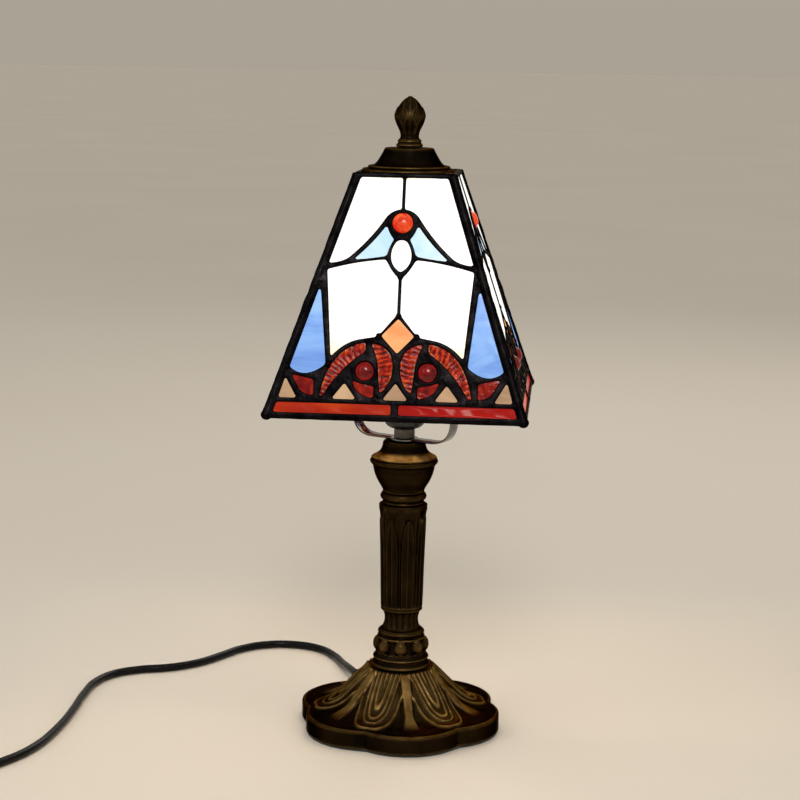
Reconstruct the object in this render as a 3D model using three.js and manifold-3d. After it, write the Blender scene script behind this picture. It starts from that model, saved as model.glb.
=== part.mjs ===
// A stained glass table lamp: a four-sided shade of leaded art glass carried by a harp on a cast column.
// Millimetres, +Z up. The origin is on the table, on the lamp's axis. The shade's front faces -Y.
import * as THREE from 'three';
import { mergeVertices } from 'three/addons/utils/BufferGeometryUtils.js';
import Module from 'manifold-3d';

const wasm = await Module();
wasm.setup();

// ---------------------------------------------------------------- driving dimensions

const GAP = 0.3; // between pieces that touch

// Heights of the joints in the stack of castings that the threaded rod clamps together.
const FELT_TOP = 1.2;
const FOOT_BOTTOM = FELT_TOP + GAP;
const FOOT_TOP = 38;
const KNUCKLE_TOP = 57.3;
const PEDESTAL_TOP = 74.2;
const COLUMN_TOP = 138.5;
const BEAD_TOP = 146.7;
const CUP_TOP = 165.8;
const LID_TOP = 176.8;
const HARP_BOTTOM = LID_TOP + GAP;

const ROD_RADIUS = 4.9;
const ROD_BORE = 3.2;
const ROD_HOLE = ROD_RADIUS + GAP;

const LOBES = 6;
const LOBE_REACH = 62; // from the axis to the middle of a lobe's edge
const LOBE_ARC = 35.8; // radius of a lobe's round edge
const FOOT_TURN = THREE.MathUtils.degToRad(13); // the front lobe, from the shade's front
const SLAB_HEIGHT = 12;
const PETAL_RAISE = 1.3;
const FOOT_SEGMENTS = 48;

const BOSSES = 8;
const BOSS_TURN = THREE.MathUtils.degToRad(4);
const BOSS_RADIUS = 4.2;
const BOSS_CIRCLE = 12.8;
const BOSS_HEIGHT = 51;

const FLUTES = 12;
const FLUTE_DEPTH = 0.45;

const HARP_TURN = THREE.MathUtils.degToRad(-26);
const HARP_HALF = 33.8; // from the axis to the middle of an arm's thickness
const HARP_WIDTH = 9;
const HARP_THICK = 1.3;
const HARP_TOP = 331.5;
const STUD_RADIUS = 2.9;
const STUD_HOLE = STUD_RADIUS + 0.5;
const STUD_FLANGE_TOP = HARP_TOP + 1.4;
const STUD_TOP = 358.5;

const NUT_BOTTOM = HARP_BOTTOM + HARP_THICK + GAP;
const NUT_TOP = NUT_BOTTOM + 5.2;
const SOCKET_BOTTOM = NUT_TOP + GAP;
const SOCKET_RADIUS = 12.2;
const SOCKET_SPLIT = 206;
const SOCKET_TOP = 238.6;
const BULB_SEAT = 215.5; // underside of the bulb's centre contact
const BULB_TOP = 284;
const BULB_RADIUS = 17.5;

// The shade is a square pyramid with its top cut off. These are sizes of its glass mid plane.
const SHADE_BOTTOM = 202;
const SHADE_TOP = 336;
const SHADE_HALF_BOTTOM = 72.5;
const SHADE_HALF_TOP = 27.4;
const LEAN = Math.atan((SHADE_HALF_BOTTOM - SHADE_HALF_TOP) / (SHADE_TOP - SHADE_BOTTOM));
const SLOPE = (SHADE_TOP - SHADE_BOTTOM) / Math.cos(LEAN);
const LEAD_THICK = 2.8;
const GLASS_THICK = 2.2;
const SEAM_RADIUS = 2.5; // the round solder seam down each corner
const OWN_SEAM = 1.8; // the leading's edge, buried in its own seam
const NEXT_SEAM = 2.7; // the leading's edge beside the next side's seam
const GLASS_MARGIN = 3.2; // from a corner to the glass

const CORD_RADIUS = 2.5;
const CORD_AXIS = CORD_RADIUS + 0.2; // height of the middle of a cord that lies on the table
const EXIT_ANGLE = THREE.MathUtils.degToRad(115);
const EXIT_HEIGHT = 6;
const BOOT_END = 84; // the tip of the cord's boot, from the lamp's axis
const INNER_LEAD_RADIUS = 1.9;

const SWITCH = { x: -284, y: -128, length: 56, width: 22, split: 7, top: 15.2, axis: 5.5 };
const ROCKER = { length: 15.6, width: 9, pivot: 11.2, tilt: THREE.MathUtils.degToRad(8) };
const COIL = { x: -357.5, y: -90.5, inner: 19.9, outer: 40.1, low: 0.2, step: 4.9, high: 9.6 };
const PLUG = { x: -319, boot: -20, start: -2, face: 26, axis: 6.2 };

// ---------------------------------------------------------------- shapes

// A solid turned about Z from [radius, height] points that start and end on the axis.
function turned(profile, segments = 20) {
  const points = profile.map(([radius, height]) => new THREE.Vector2(radius, height));
  return new THREE.LatheGeometry(points, segments).rotateX(Math.PI / 2);
}

// The same, with a hole down the middle: the profile closes on itself.
function turnedRing(profile, segments = 20) {
  return turned([...profile, profile[0]], segments);
}

function toSolid(geometry) {
  const bare = geometry.clone();
  bare.deleteAttribute('normal');
  bare.deleteAttribute('uv');
  const merged = mergeVertices(bare);
  return new wasm.Manifold(new wasm.Mesh({
    numProp: 3,
    vertProperties: merged.attributes.position.array,
    triVerts: new Uint32Array(merged.index.array),
  }));
}

function toGeometry(solid) {
  const mesh = solid.getMesh();
  const geometry = new THREE.BufferGeometry();
  geometry.setAttribute('position', new THREE.BufferAttribute(mesh.vertProperties, 3));
  geometry.setIndex(new THREE.BufferAttribute(mesh.triVerts, 1));
  return geometry;
}

function cut(body, ...tools) {
  return toGeometry(tools.reduce((solid, tool) => solid.subtract(toSolid(tool)), toSolid(body)));
}

function join(body, ...others) {
  return toGeometry(others.reduce((solid, other) => solid.add(toSolid(other)), toSolid(body)));
}

function box(low, high) {
  const [sx, sy, sz] = high.map((value, axis) => value - low[axis]);
  return new THREE.BoxGeometry(sx, sy, sz)
    .translate(low[0] + sx / 2, low[1] + sy / 2, low[2] + sz / 2);
}

function postAlongZ(radius, bottom, top, segments = 24) {
  return new THREE.CylinderGeometry(radius, radius, top - bottom, segments)
    .rotateX(Math.PI / 2)
    .translate(0, 0, (bottom + top) / 2);
}

function hexNut(radius, bottom, top) {
  return cut(postAlongZ(radius, bottom, top, 6), postAlongZ(ROD_HOLE, bottom - 1, top + 1));
}

function disc(radius, segments) {
  const shape = new THREE.Shape();
  for (let i = 0; i < segments; i += 1) {
    const angle = (2 * Math.PI * i) / segments;
    const point = [radius * Math.cos(angle), radius * Math.sin(angle)];
    if (i === 0) shape.moveTo(...point);
    else shape.lineTo(...point);
  }
  return shape;
}

function tubeAlong(points, radius, steps, sides) {
  const path = new THREE.CatmullRomCurve3(points.map((point) => new THREE.Vector3(...point)));
  return new THREE.ExtrudeGeometry(disc(radius, sides), { steps, extrudePath: path });
}

function slab(shape, bottom, top) {
  return new THREE.ExtrudeGeometry(shape, { depth: top - bottom, bevelEnabled: false })
    .translate(0, 0, bottom);
}

function polygon(points) {
  return new THREE.Shape(points.map(([x, y]) => new THREE.Vector2(x, y)));
}

// ---------------------------------------------------------------- materials

function finish(color, roughness, metalness) {
  return new THREE.MeshStandardMaterial({ color, roughness, metalness });
}

function glass(color) {
  return new THREE.MeshStandardMaterial({ color, roughness: 0.2, transparent: true, opacity: 0.8 });
}

const bronze = finish(0x2b2017, 0.42, 0.9);
const iron = finish(0x35332f, 0.7, 0.6);
const steel = finish(0x9a9a98, 0.35, 1);
const chrome = finish(0xd6d6d6, 0.12, 1);
const brass = finish(0xb08a3c, 0.3, 1);
const lead = finish(0x17181a, 0.5, 0.7);
const blackPlastic = finish(0x121212, 0.35, 0);
const cordPlastic = finish(0x0d0d0e, 0.4, 0);
const felt = finish(0x141614, 0.95, 0);
const artGlass = glass(0xfff4dc);
const bulbGlass = glass(0xfff6e6);

// ---------------------------------------------------------------- assembly

const lamp = new THREE.Group();

function add(name, geometry, material, parent = lamp) {
  const mesh = new THREE.Mesh(geometry, material);
  mesh.name = name;
  parent.add(mesh);
  return mesh;
}

// ---------------------------------------------------------------- base

// How far the foot's edge reaches at an angle, as a share of its longest reach.
function lobeShare(angle) {
  const pitch = (2 * Math.PI) / LOBES;
  const turns = (angle + Math.PI / 2 - FOOT_TURN) / pitch;
  const off = (turns - Math.round(turns)) * pitch;
  const centre = LOBE_REACH - LOBE_ARC;
  const along = Math.sqrt(LOBE_ARC ** 2 - (centre * Math.sin(off)) ** 2);
  return (centre * Math.cos(off) + along) / LOBE_REACH;
}

// Height of the six petals that lie on the dome between the lobes.
function petalRaise(radius, angle) {
  const pitch = (2 * Math.PI) / LOBES;
  const turns = (angle + Math.PI / 2 - FOOT_TURN) / pitch - 0.5;
  const across = Math.abs(turns - Math.round(turns)) * pitch * radius;
  const along = THREE.MathUtils.clamp((radius - 20) / 28, 0, 1);
  const halfWidth = 7.6 * Math.sqrt(Math.max(0, 1 - along ** 4));
  return PETAL_RAISE * THREE.MathUtils.smoothstep(halfWidth - across, 0, 1.6)
    * THREE.MathUtils.smoothstep(radius, 19, 24);
}

function footOutline(share) {
  const corners = Array.from({ length: FOOT_SEGMENTS }, (_, i) => {
    const angle = (2 * Math.PI * i) / FOOT_SEGMENTS;
    const radius = LOBE_REACH * share * lobeShare(angle);
    return [radius * Math.cos(angle), radius * Math.sin(angle)];
  });
  return polygon(corners);
}

function footCasting() {
  const top = [
    [56, FOOT_BOTTOM], [62, FOOT_BOTTOM], [62, SLAB_HEIGHT - 0.8], [61.2, SLAB_HEIGHT],
    [53, 12.9], [47, 13.9], [42, 15.6], [37, 18.8], [31, 24.8], [25, 31], [20, 35.9],
    [18.4, 37.4], [16, FOOT_TOP],
  ];
  const underside = [
    [ROD_HOLE, FOOT_TOP], [ROD_HOLE, 31.4], [14, 31.4], [23, 28.6], [31, 21], [37, 14],
    [44, 10.4], [56, 10.2],
  ];
  const geometry = turnedRing([...top, ...underside], FOOT_SEGMENTS);
  const position = geometry.attributes.position;
  for (let i = 0; i < position.count; i += 1) {
    const x = position.getX(i);
    const y = position.getY(i);
    const z = position.getZ(i);
    const radius = Math.hypot(x, y);
    const angle = Math.atan2(y, x);
    const lobed = THREE.MathUtils.smoothstep(radius, 40, LOBE_REACH);
    const scale = 1 + (lobeShare(angle) - 1) * lobed;
    const outside = i % (top.length + underside.length + 1) < top.length;
    const raise = outside && z > SLAB_HEIGHT + 0.1 ? petalRaise(radius, angle) : 0;
    position.setXYZ(i, x * scale, y * scale, z + raise);
  }
  const cordHole = postAlongZ(4, 48, 72).rotateY(Math.PI / 2).rotateZ(EXIT_ANGLE)
    .translate(0, 0, EXIT_HEIGHT);
  return cut(geometry, cordHole);
}

function addBase() {
  add('felt_pad', slab(footOutline(0.985), 0, FELT_TOP), felt);
  add('base_foot', footCasting(), bronze);
  add('base_weight', turnedRing([
    [ROD_HOLE, 17.3], [26, 17.3], [28, 19], [24.5, 25], [18, 28.4], [12, 31.1], [ROD_HOLE, 31.1],
  ]), iron);
  add('base_washer', turnedRing([[ROD_HOLE, 15.8], [11, 15.8], [11, 17], [ROD_HOLE, 17]], 16), steel);
  add('base_nut', hexNut(9, 11.5, 15.5), steel);
  add('threaded_rod', turnedRing([
    [ROD_BORE, 11], [ROD_RADIUS, 11], [ROD_RADIUS, 188.4], [ROD_BORE, 188.4],
  ], 20), steel);
}

// ---------------------------------------------------------------- column

// Gives a turned piece evenly spaced hollows down its outside, fading in and out at its ends.
function flute(geometry, bottom, top) {
  const position = geometry.attributes.position;
  for (let i = 0; i < position.count; i += 1) {
    const x = position.getX(i);
    const y = position.getY(i);
    const z = position.getZ(i);
    if (Math.hypot(x, y) > ROD_HOLE + 1) {
      const ends = THREE.MathUtils.smoothstep(Math.min(z - bottom, top - z), 0, 3);
      const wave = 0.5 - 0.5 * Math.cos(FLUTES * Math.atan2(y, x));
      const scale = 1 - (FLUTE_DEPTH * 2 * wave * ends) / Math.hypot(x, y);
      position.setXYZ(i, x * scale, y * scale, z);
    }
  }
  return geometry;
}

function knuckle() {
  const body = turnedRing([
    [ROD_HOLE, FOOT_TOP + GAP], [17.7, FOOT_TOP + GAP], [17.7, 39.8], [16.6, 43.4], [14.4, 47.6],
    [14.4, 54], [13, KNUCKLE_TOP], [ROD_HOLE, KNUCKLE_TOP],
  ], 30);
  const bosses = Array.from({ length: BOSSES }, (_, i) => {
    const angle = (2 * Math.PI * i) / BOSSES - Math.PI / 2 + BOSS_TURN;
    return new THREE.SphereGeometry(BOSS_RADIUS, 10, 7)
      .translate(BOSS_CIRCLE * Math.cos(angle), BOSS_CIRCLE * Math.sin(angle), BOSS_HEIGHT);
  });
  return join(body, ...bosses);
}

function addColumn() {
  add('knuckle', knuckle(), bronze);
  const pedestal = KNUCKLE_TOP + GAP;
  add('pedestal', turnedRing([
    [ROD_HOLE, pedestal], [13.2, pedestal], [13.7, 58.8], [13.4, 60.2], [11.8, 61.6], [10.6, 63.6],
    [10, 66.6], [10.2, 69.4], [11.2, 72], [12.4, 73.2], [12.4, PEDESTAL_TOP], [ROD_HOLE, PEDESTAL_TOP],
  ]), bronze);
  const column = PEDESTAL_TOP + GAP;
  add('column', flute(turnedRing([
    [ROD_HOLE, column], [12.4, column], [12.5, 78], [12.7, 84], [13.2, 103], [13.8, 121.5],
    [14.3, 130.8], [15.2, 136], [14.6, 138], [13, COLUMN_TOP], [ROD_HOLE, COLUMN_TOP],
  ], 2 * FLUTES), column, COLUMN_TOP), bronze);
  const bead = COLUMN_TOP + GAP;
  add('column_bead', turnedRing([
    [ROD_HOLE, bead], [12.3, bead], [12.2, 140.8], [13.5, 141.9], [13.8, 143], [13.5, 144.1],
    [12.2, 145.2], [12.3, BEAD_TOP], [ROD_HOLE, BEAD_TOP],
  ]), bronze);
  const cup = BEAD_TOP + GAP;
  add('urn_cup', turnedRing([
    [ROD_HOLE, cup], [12.6, cup], [14, 149.4], [16, 153], [17.6, 157], [18.6, 161.6], [19.3, 162.8],
    [20.2, 163.6], [20.2, 165.2], [19.4, CUP_TOP], [18, CUP_TOP], [17, 161.5], [15.4, 156],
    [12.6, 151.6], [ROD_HOLE, 150.6],
  ]), bronze);
  const lid = CUP_TOP + GAP;
  add('cup_lid', turnedRing([
    [ROD_HOLE, lid], [19.4, lid], [19.6, 166.7], [17.4, 168.1], [14.9, 169.8], [13.5, 172],
    [12.7, 174.6], [12.3, 176.2], [11.6, LID_TOP], [ROD_HOLE, LID_TOP],
  ]), bronze);
}

// ---------------------------------------------------------------- harp

// The middle of the harp's strip on one side, from the bottom centre up to the top centre.
function harpHalf() {
  const path = new THREE.Path();
  const bottom = HARP_BOTTOM + HARP_THICK / 2;
  const top = HARP_TOP - HARP_THICK / 2;
  path.moveTo(0, bottom);
  path.lineTo(HARP_HALF - 14, bottom);
  path.quadraticCurveTo(HARP_HALF, bottom, HARP_HALF, bottom + 14);
  path.lineTo(HARP_HALF, 216);
  path.bezierCurveTo(HARP_HALF, 256, 15, 288, 14.6, top - 9);
  path.quadraticCurveTo(14.6, top, 6.5, top);
  path.lineTo(0, top);
  return path.getPoints(5);
}

// The strip's outline, moved sideways from its middle: outwards for a positive distance.
function harpSide(distance) {
  const middle = harpHalf();
  const moved = middle.map((point, i) => {
    const before = middle[Math.max(i - 1, 0)];
    const after = middle[Math.min(i + 1, middle.length - 1)];
    const along = after.clone().sub(before).normalize();
    return [point.x + along.y * distance, point.y - along.x * distance];
  });
  const left = moved.slice(1, -1).reverse().map(([x, z]) => [-x, z]);
  return [...moved, ...left];
}

function addHarp() {
  const outline = polygon(harpSide(HARP_THICK / 2));
  outline.holes.push(polygon(harpSide(-HARP_THICK / 2)));
  const strip = slab(outline, -HARP_WIDTH / 2, HARP_WIDTH / 2).rotateX(Math.PI / 2).rotateZ(HARP_TURN);
  const rodHole = postAlongZ(ROD_HOLE, HARP_BOTTOM - 1, HARP_BOTTOM + HARP_THICK + 1);
  const studHole = postAlongZ(STUD_HOLE, HARP_TOP - HARP_THICK - 1, HARP_TOP + 1);
  // The strip widens into a round eye where the rod passes through it.
  const eye = postAlongZ(8.4, HARP_BOTTOM, HARP_BOTTOM + HARP_THICK);
  add('harp', cut(join(strip, eye), rodHole, studHole), chrome);
  add('harp_stud', turned([
    [0, 328.5], [4.6, 328.5], [4.6, HARP_TOP - HARP_THICK - GAP], [STUD_RADIUS, HARP_TOP - HARP_THICK - GAP],
    [STUD_RADIUS, HARP_TOP + GAP], [5.5, HARP_TOP + GAP], [5.5, STUD_FLANGE_TOP],
    [STUD_RADIUS, STUD_FLANGE_TOP], [STUD_RADIUS, STUD_TOP], [0, STUD_TOP],
  ], 20), brass);
  add('lock_nut', hexNut(6.9, NUT_BOTTOM, NUT_TOP), steel);
}

// ---------------------------------------------------------------- lampholder and bulb

function addLampholder() {
  add('socket_cap', turnedRing([
    [ROD_HOLE, SOCKET_BOTTOM], [6.6, SOCKET_BOTTOM], [9.6, SOCKET_BOTTOM + 1], [11.6, SOCKET_BOTTOM + 2.8],
    [SOCKET_RADIUS, SOCKET_BOTTOM + 5], [SOCKET_RADIUS, SOCKET_SPLIT], [10.8, SOCKET_SPLIT],
    [10.8, 191], [ROD_HOLE, 190],
  ]), blackPlastic);
  add('socket_shell', turnedRing([
    [10.8, SOCKET_SPLIT + GAP], [SOCKET_RADIUS, SOCKET_SPLIT + GAP], [SOCKET_RADIUS, 237.6],
    [11.4, SOCKET_TOP], [7.4, SOCKET_TOP], [7.4, 237.2], [10.8, 237.2],
  ]), blackPlastic);
  add('socket_core', turned([[0, 207.6], [10.3, 207.6], [10.3, 212.6], [0, 212.6]], 24), blackPlastic);
  add('socket_thread', turnedRing([[6.2, 212.9], [6.8, 212.9], [6.8, 236.4], [6.2, 236.4]], 24), brass);
  const contactTop = BULB_SEAT - GAP;
  add('socket_contact', turned([[0, 212.9], [2.4, 212.9], [2, contactTop], [0, contactTop]], 12), brass);
}

function addBulb() {
  add('bulb_contact', turned([
    [0, BULB_SEAT], [1.6, BULB_SEAT], [2.4, BULB_SEAT + 0.8], [2.4, BULB_SEAT + 1.7], [0, BULB_SEAT + 1.7],
  ], 12), steel);
  add('bulb_cap', turnedRing([
    [2.8, 217.5], [4.4, 217.5], [5.8, 219.6], [5.8, 234.5], [5.3, 234.5], [5.3, 220], [2.8, 218.6],
  ], 24), brass);
  add('bulb_glass', turned([
    [0, BULB_TOP - 1], [7, 280.2], [13.4, 273.6], [BULB_RADIUS - 1, 262], [12, 248.6], [4.9, 240],
    [4.1, 236], [4.1, 222], [5, 222], [5, 235.6], [5.8, 239.4], [12.9, 248], [BULB_RADIUS, 262],
    [14.2, 274.3], [7.4, 281.2], [0, BULB_TOP],
  ]), bulbGlass);
  add('bulb_stem', turned([[0, 224], [3, 224], [1.9, 229], [1.5, 243], [0, 244]], 12), bulbGlass);
}

// ---------------------------------------------------------------- shade

// Half the width of a side at a distance up its slope.
function halfWidth(up) {
  return SHADE_HALF_BOTTOM - (up / SLOPE) * (SHADE_HALF_BOTTOM - SHADE_HALF_TOP);
}

function cornerGlass(up) {
  return [halfWidth(up) - GLASS_MARGIN, up];
}

// Outlines of the glass, as [across from the centre line, up the slope]. An entry of four numbers is
// a curve: its control point, then its end. Paired pieces are mirrored about the centre line.
const PAIRED = {
  top: [[1, 120.7], [1, 139.2], cornerGlass(139.2), cornerGlass(88.8), [34, 89.2, 29.6, 92.3],
    [17.6, 103, 9.2, 116.4], [5.6, 120.6, 1, 120.7]],
  wing: [[27, 91], [16.4, 100.4, 8.8, 111.6], [8, 107, 4.6, 103.2], [7.6, 98, 8.2, 93.6],
    [17, 91.8, 27, 91]],
  middle: [[1, 59.6], [1, 81], [4.4, 83, 8.6, 91.4], [24, 90.2, 41.6, 85], [37.4, 34.8],
    [29.6, 44.2, 19.6, 45.5], [11.2, 47]],
  blue: [[45.1, 76], [40.1, 30.4], [51.4, 20.6, 60.3, 28.4]],
  arc: [[17.8, 43.3], [38.4, 40.4, 42.9, 11.6], [41.6, 11.6], [31.4, 29.6, 17.8, 38.3]],
  leaf: [[14.9, 43], [2, 41.6, 2.2, 29.2], [2.4, 19.6, 8.8, 14.6], [9.4, 19, 10, 26.5],
    [10.6, 36, 14.9, 43]],
  lens: [[12.3, 18.4], [17.8, 19, 24.8, 21.6], [22.4, 16.4], [18.4, 12.4, 12.6, 11.9]],
  wedge: [[59, 24.2], [46.4, 21.4], [46.3, 12.3], [51, 12.6, 54.3, 16]],
  cornerTriangle: [[62.4, 22.6], [55.6, 10.8], cornerGlass(10.8)],
  triangle: [[28.8, 20], [22.1, 10.8], [35.8, 10.8]],
  bar: [[2.2, 2.4], [2.2, 8.1], cornerGlass(8.1), cornerGlass(2.4)],
};
const CENTRED = {
  oval: [[0, 84.2], [5.4, 87.4, 5.7, 93], [5.9, 98.4, 2.2, 102.8], [-2.2, 102.8], [-5.9, 98.4, -5.7, 93],
    [-5.4, 87.4, 0, 84.2]],
  diamond: [[0, 57.4], [9.3, 47.4], [0, 37.4], [-9.3, 47.4]],
  centreTriangle: [[0, 20.4], [-7.2, 10.8], [7.2, 10.8]],
};
const JEWELS = [
  { across: 0, up: 112.8, radius: 5.9 },
  { across: -17.7, up: 26.9, radius: 5.5 },
  { across: 17.7, up: 26.9, radius: 5.5 },
];
const CURVE_STEPS = 2;
// The glass pieces large enough to be solids of their own. The rest are held as holes in the leading.
const LARGE_PANES = ['top', 'middle'];

function outlinePoints(entries, side = 1) {
  const path = new THREE.Path();
  entries.forEach((entry, i) => {
    if (i === 0) path.moveTo(...entry);
    else if (entry.length === 4) path.quadraticCurveTo(...entry);
    else path.lineTo(...entry);
  });
  const points = path.getPoints(CURVE_STEPS).map((point) => [point.x * side, point.y]);
  const [first, last] = [points[0], points.at(-1)];
  return Math.hypot(first[0] - last[0], first[1] - last[1]) < 0.01 ? points.slice(0, -1) : points;
}

// A closed outline moved inwards by a distance, corner by corner.
function inset(points, distance) {
  const inwards = THREE.ShapeUtils.isClockWise(points.map(([x, y]) => new THREE.Vector2(x, y))) ? -1 : 1;
  return points.map(([x, y], i) => {
    const before = points.at(i - 1);
    const after = points[(i + 1) % points.length];
    const along = [[x - before[0], y - before[1]], [after[0] - x, after[1] - y]]
      .map(([dx, dy]) => new THREE.Vector2(dx, dy).normalize());
    const normals = along.map((direction) => new THREE.Vector2(-direction.y, direction.x));
    const middle = normals[0].clone().add(normals[1]).normalize();
    const stretch = Math.min(1 / Math.max(middle.dot(normals[0]), 0.2), 3);
    return [x + middle.x * distance * stretch * inwards, y + middle.y * distance * stretch * inwards];
  });
}

// One side's leading, in its own frame: x across, y up the slope, z outwards.
function leading() {
  const plate = slab(polygon([
    [-halfWidth(0) + OWN_SEAM, 0], [halfWidth(0) - NEXT_SEAM, 0],
    [halfWidth(SLOPE) - NEXT_SEAM, SLOPE], [-halfWidth(SLOPE) + OWN_SEAM, SLOPE],
  ]), -LEAD_THICK / 2, LEAD_THICK / 2);
  const paired = Object.values(PAIRED).flatMap((entries) => [
    outlinePoints(entries),
    outlinePoints(entries, -1),
  ]);
  const centred = Object.values(CENTRED).map((entries) => outlinePoints(entries));
  const panes = [...paired, ...centred].map((points) => slab(polygon(points), -LEAD_THICK, LEAD_THICK));
  const jewels = JEWELS.map(({ across, up, radius }) => (
    postAlongZ(radius, -LEAD_THICK, LEAD_THICK, 16).translate(across, up, 0)
  ));
  const foot = new THREE.Vector3(-halfWidth(0), 0, 0);
  const head = new THREE.Vector3(-halfWidth(SLOPE), SLOPE, 0);
  const seamLine = new THREE.LineCurve3(foot, head);
  const seam = new THREE.ExtrudeGeometry(disc(SEAM_RADIUS, 12), { steps: 1, extrudePath: seamLine });
  return join(cut(plate, ...panes, ...jewels), seam);
}

function addShade() {
  ['front', 'right', 'back', 'left'].forEach((side, i) => {
    const around = new THREE.Group();
    around.rotation.z = (i * Math.PI) / 2;
    const face = new THREE.Group();
    face.position.set(0, -SHADE_HALF_BOTTOM, SHADE_BOTTOM);
    face.rotation.x = Math.PI / 2 - LEAN;
    around.add(face);
    lamp.add(around);
    add(`lead_${side}`, leading(), lead, face);
    LARGE_PANES.forEach((pane) => {
      [['left', -1], ['right', 1]].forEach(([hand, sign]) => {
        const outline = polygon(inset(outlinePoints(PAIRED[pane], sign), GAP));
        const sheet = slab(outline, -GLASS_THICK / 2, GLASS_THICK / 2);
        add(`glass_${side}_${pane}_${hand}`, sheet, artGlass, face);
      });
    });
  });
  const plate = slab(polygon([[-25, -25], [25, -25], [25, 25], [-25, 25]]), 333.2, 334.6);
  const vents = [0, 1, 2, 3].map((i) => postAlongZ(5, 332, 336, 12)
    .translate(15, 0, 0).rotateZ(Math.PI / 4 + (i * Math.PI) / 2));
  add('shade_plate', cut(plate, postAlongZ(STUD_HOLE, 332, 336), ...vents), brass);
  add('vase_cap', turnedRing([
    [STUD_HOLE, 349], [12.2, 348.8], [15.8, 343.6], [19.6, 339.4], [26.4, 336.9], [27.2, 337.2],
    [27, 338], [20.6, 340.2], [17.2, 344.2], [14.2, 349.4], [12.8, 350.3], [STUD_HOLE, 350.3],
  ]), bronze);
}

function addFinial() {
  add('finial', turned([
    [0, 359.2], [STUD_HOLE, 359.2], [STUD_HOLE, 350.6], [7.3, 350.6], [7.9, 352], [6.9, 354.2],
    [6.6, 355.6], [5.4, 357.6], [7.2, 362.6], [8.9, 367.2], [8.4, 369.6], [6.7, 373.4], [4.4, 376.8],
    [1.8, 379.3], [0, 380],
  ], 20), bronze);
}

// ---------------------------------------------------------------- cord

// The cord's middle from its boot at the back of the foot, along the table to the switch.
const LEAD_ROUTE = [
  [-35.6, 76.4, EXIT_HEIGHT], [-41, 88.5, 5.2], [-47.5, 105, 3.4], [-55.5, 123, CORD_AXIS],
  [-67.5, 137.5, CORD_AXIS], [-85, 144.2, CORD_AXIS], [-104, 141.5, CORD_AXIS], [-119.5, 130, CORD_AXIS],
  [-131, 112, CORD_AXIS], [-143.5, 94, CORD_AXIS], [-160, 81.5, CORD_AXIS], [-178, 74.5, CORD_AXIS],
  [-192.5, 63.5, CORD_AXIS], [-200.5, 45, CORD_AXIS], [-202, 20.5, CORD_AXIS], [-201, -12, CORD_AXIS],
  [-202, -47, CORD_AXIS], [-206.5, -78, CORD_AXIS], [-216, -101, CORD_AXIS], [-230, -118.5, 2.9],
  [-243.5, -126.3, 4.4], [SWITCH.x + SWITCH.length / 2 + GAP, SWITCH.y, SWITCH.axis],
];
// From the switch to the outside of the coil.
const COIL_ENTRY = [
  [SWITCH.x - SWITCH.length / 2 - GAP, SWITCH.y, SWITCH.axis], [-322, SWITCH.y, 3.6],
  [-333.5, SWITCH.y, CORD_AXIS],
];
// From the top of the coil to the plug.
const COIL_TAIL = [
  [-336, -50.3, 3.8], [-327.5, -45.8, CORD_AXIS], [-321.4, -38.4, 3.4], [PLUG.x, -29.6, 5.5],
  [PLUG.x, PLUG.boot - 2 * GAP, PLUG.axis],
];

// The boot's profile runs out from the foot's wall, along X.
function addBoot() {
  const boot = turnedRing([
    [INNER_LEAD_RADIUS + GAP, 53], [3.6, 53], [3.6, 54.6], [3.2, 54.6], [3.2, 62.4], [4.6, 62.4],
    [4.6, 64], [4.1, 65], [3.1, BOOT_END], [INNER_LEAD_RADIUS + GAP, BOOT_END],
  ], 16);
  boot.rotateY(Math.PI / 2).rotateZ(EXIT_ANGLE).translate(0, 0, EXIT_HEIGHT);
  add('cord_boot', boot, cordPlastic);
  const out = (radius) => [radius * Math.cos(EXIT_ANGLE), radius * Math.sin(EXIT_ANGLE), EXIT_HEIGHT];
  const inner = tubeAlong([
    out(BOOT_END), out(60), out(36), out(14), out(7), [...out(2).slice(0, 2), 7.8], [0, 0, 12],
    [0, 0, 18], [0, 0, 40], [0, 0, 100], [0, 0, 150], [0, 0, 200],
  ], INNER_LEAD_RADIUS, 32, 6);
  add('inner_lead', inner, cordPlastic);
}

function roundedBar(length, width, points = 6) {
  const shape = new THREE.Shape();
  const radius = width / 2;
  const straight = length / 2 - radius;
  shape.absarc(straight, 0, radius, -Math.PI / 2, Math.PI / 2, false);
  shape.absarc(-straight, 0, radius, Math.PI / 2, (3 * Math.PI) / 2, false);
  return polygon(shape.getPoints(points).map((point) => [point.x, point.y]));
}

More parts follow.
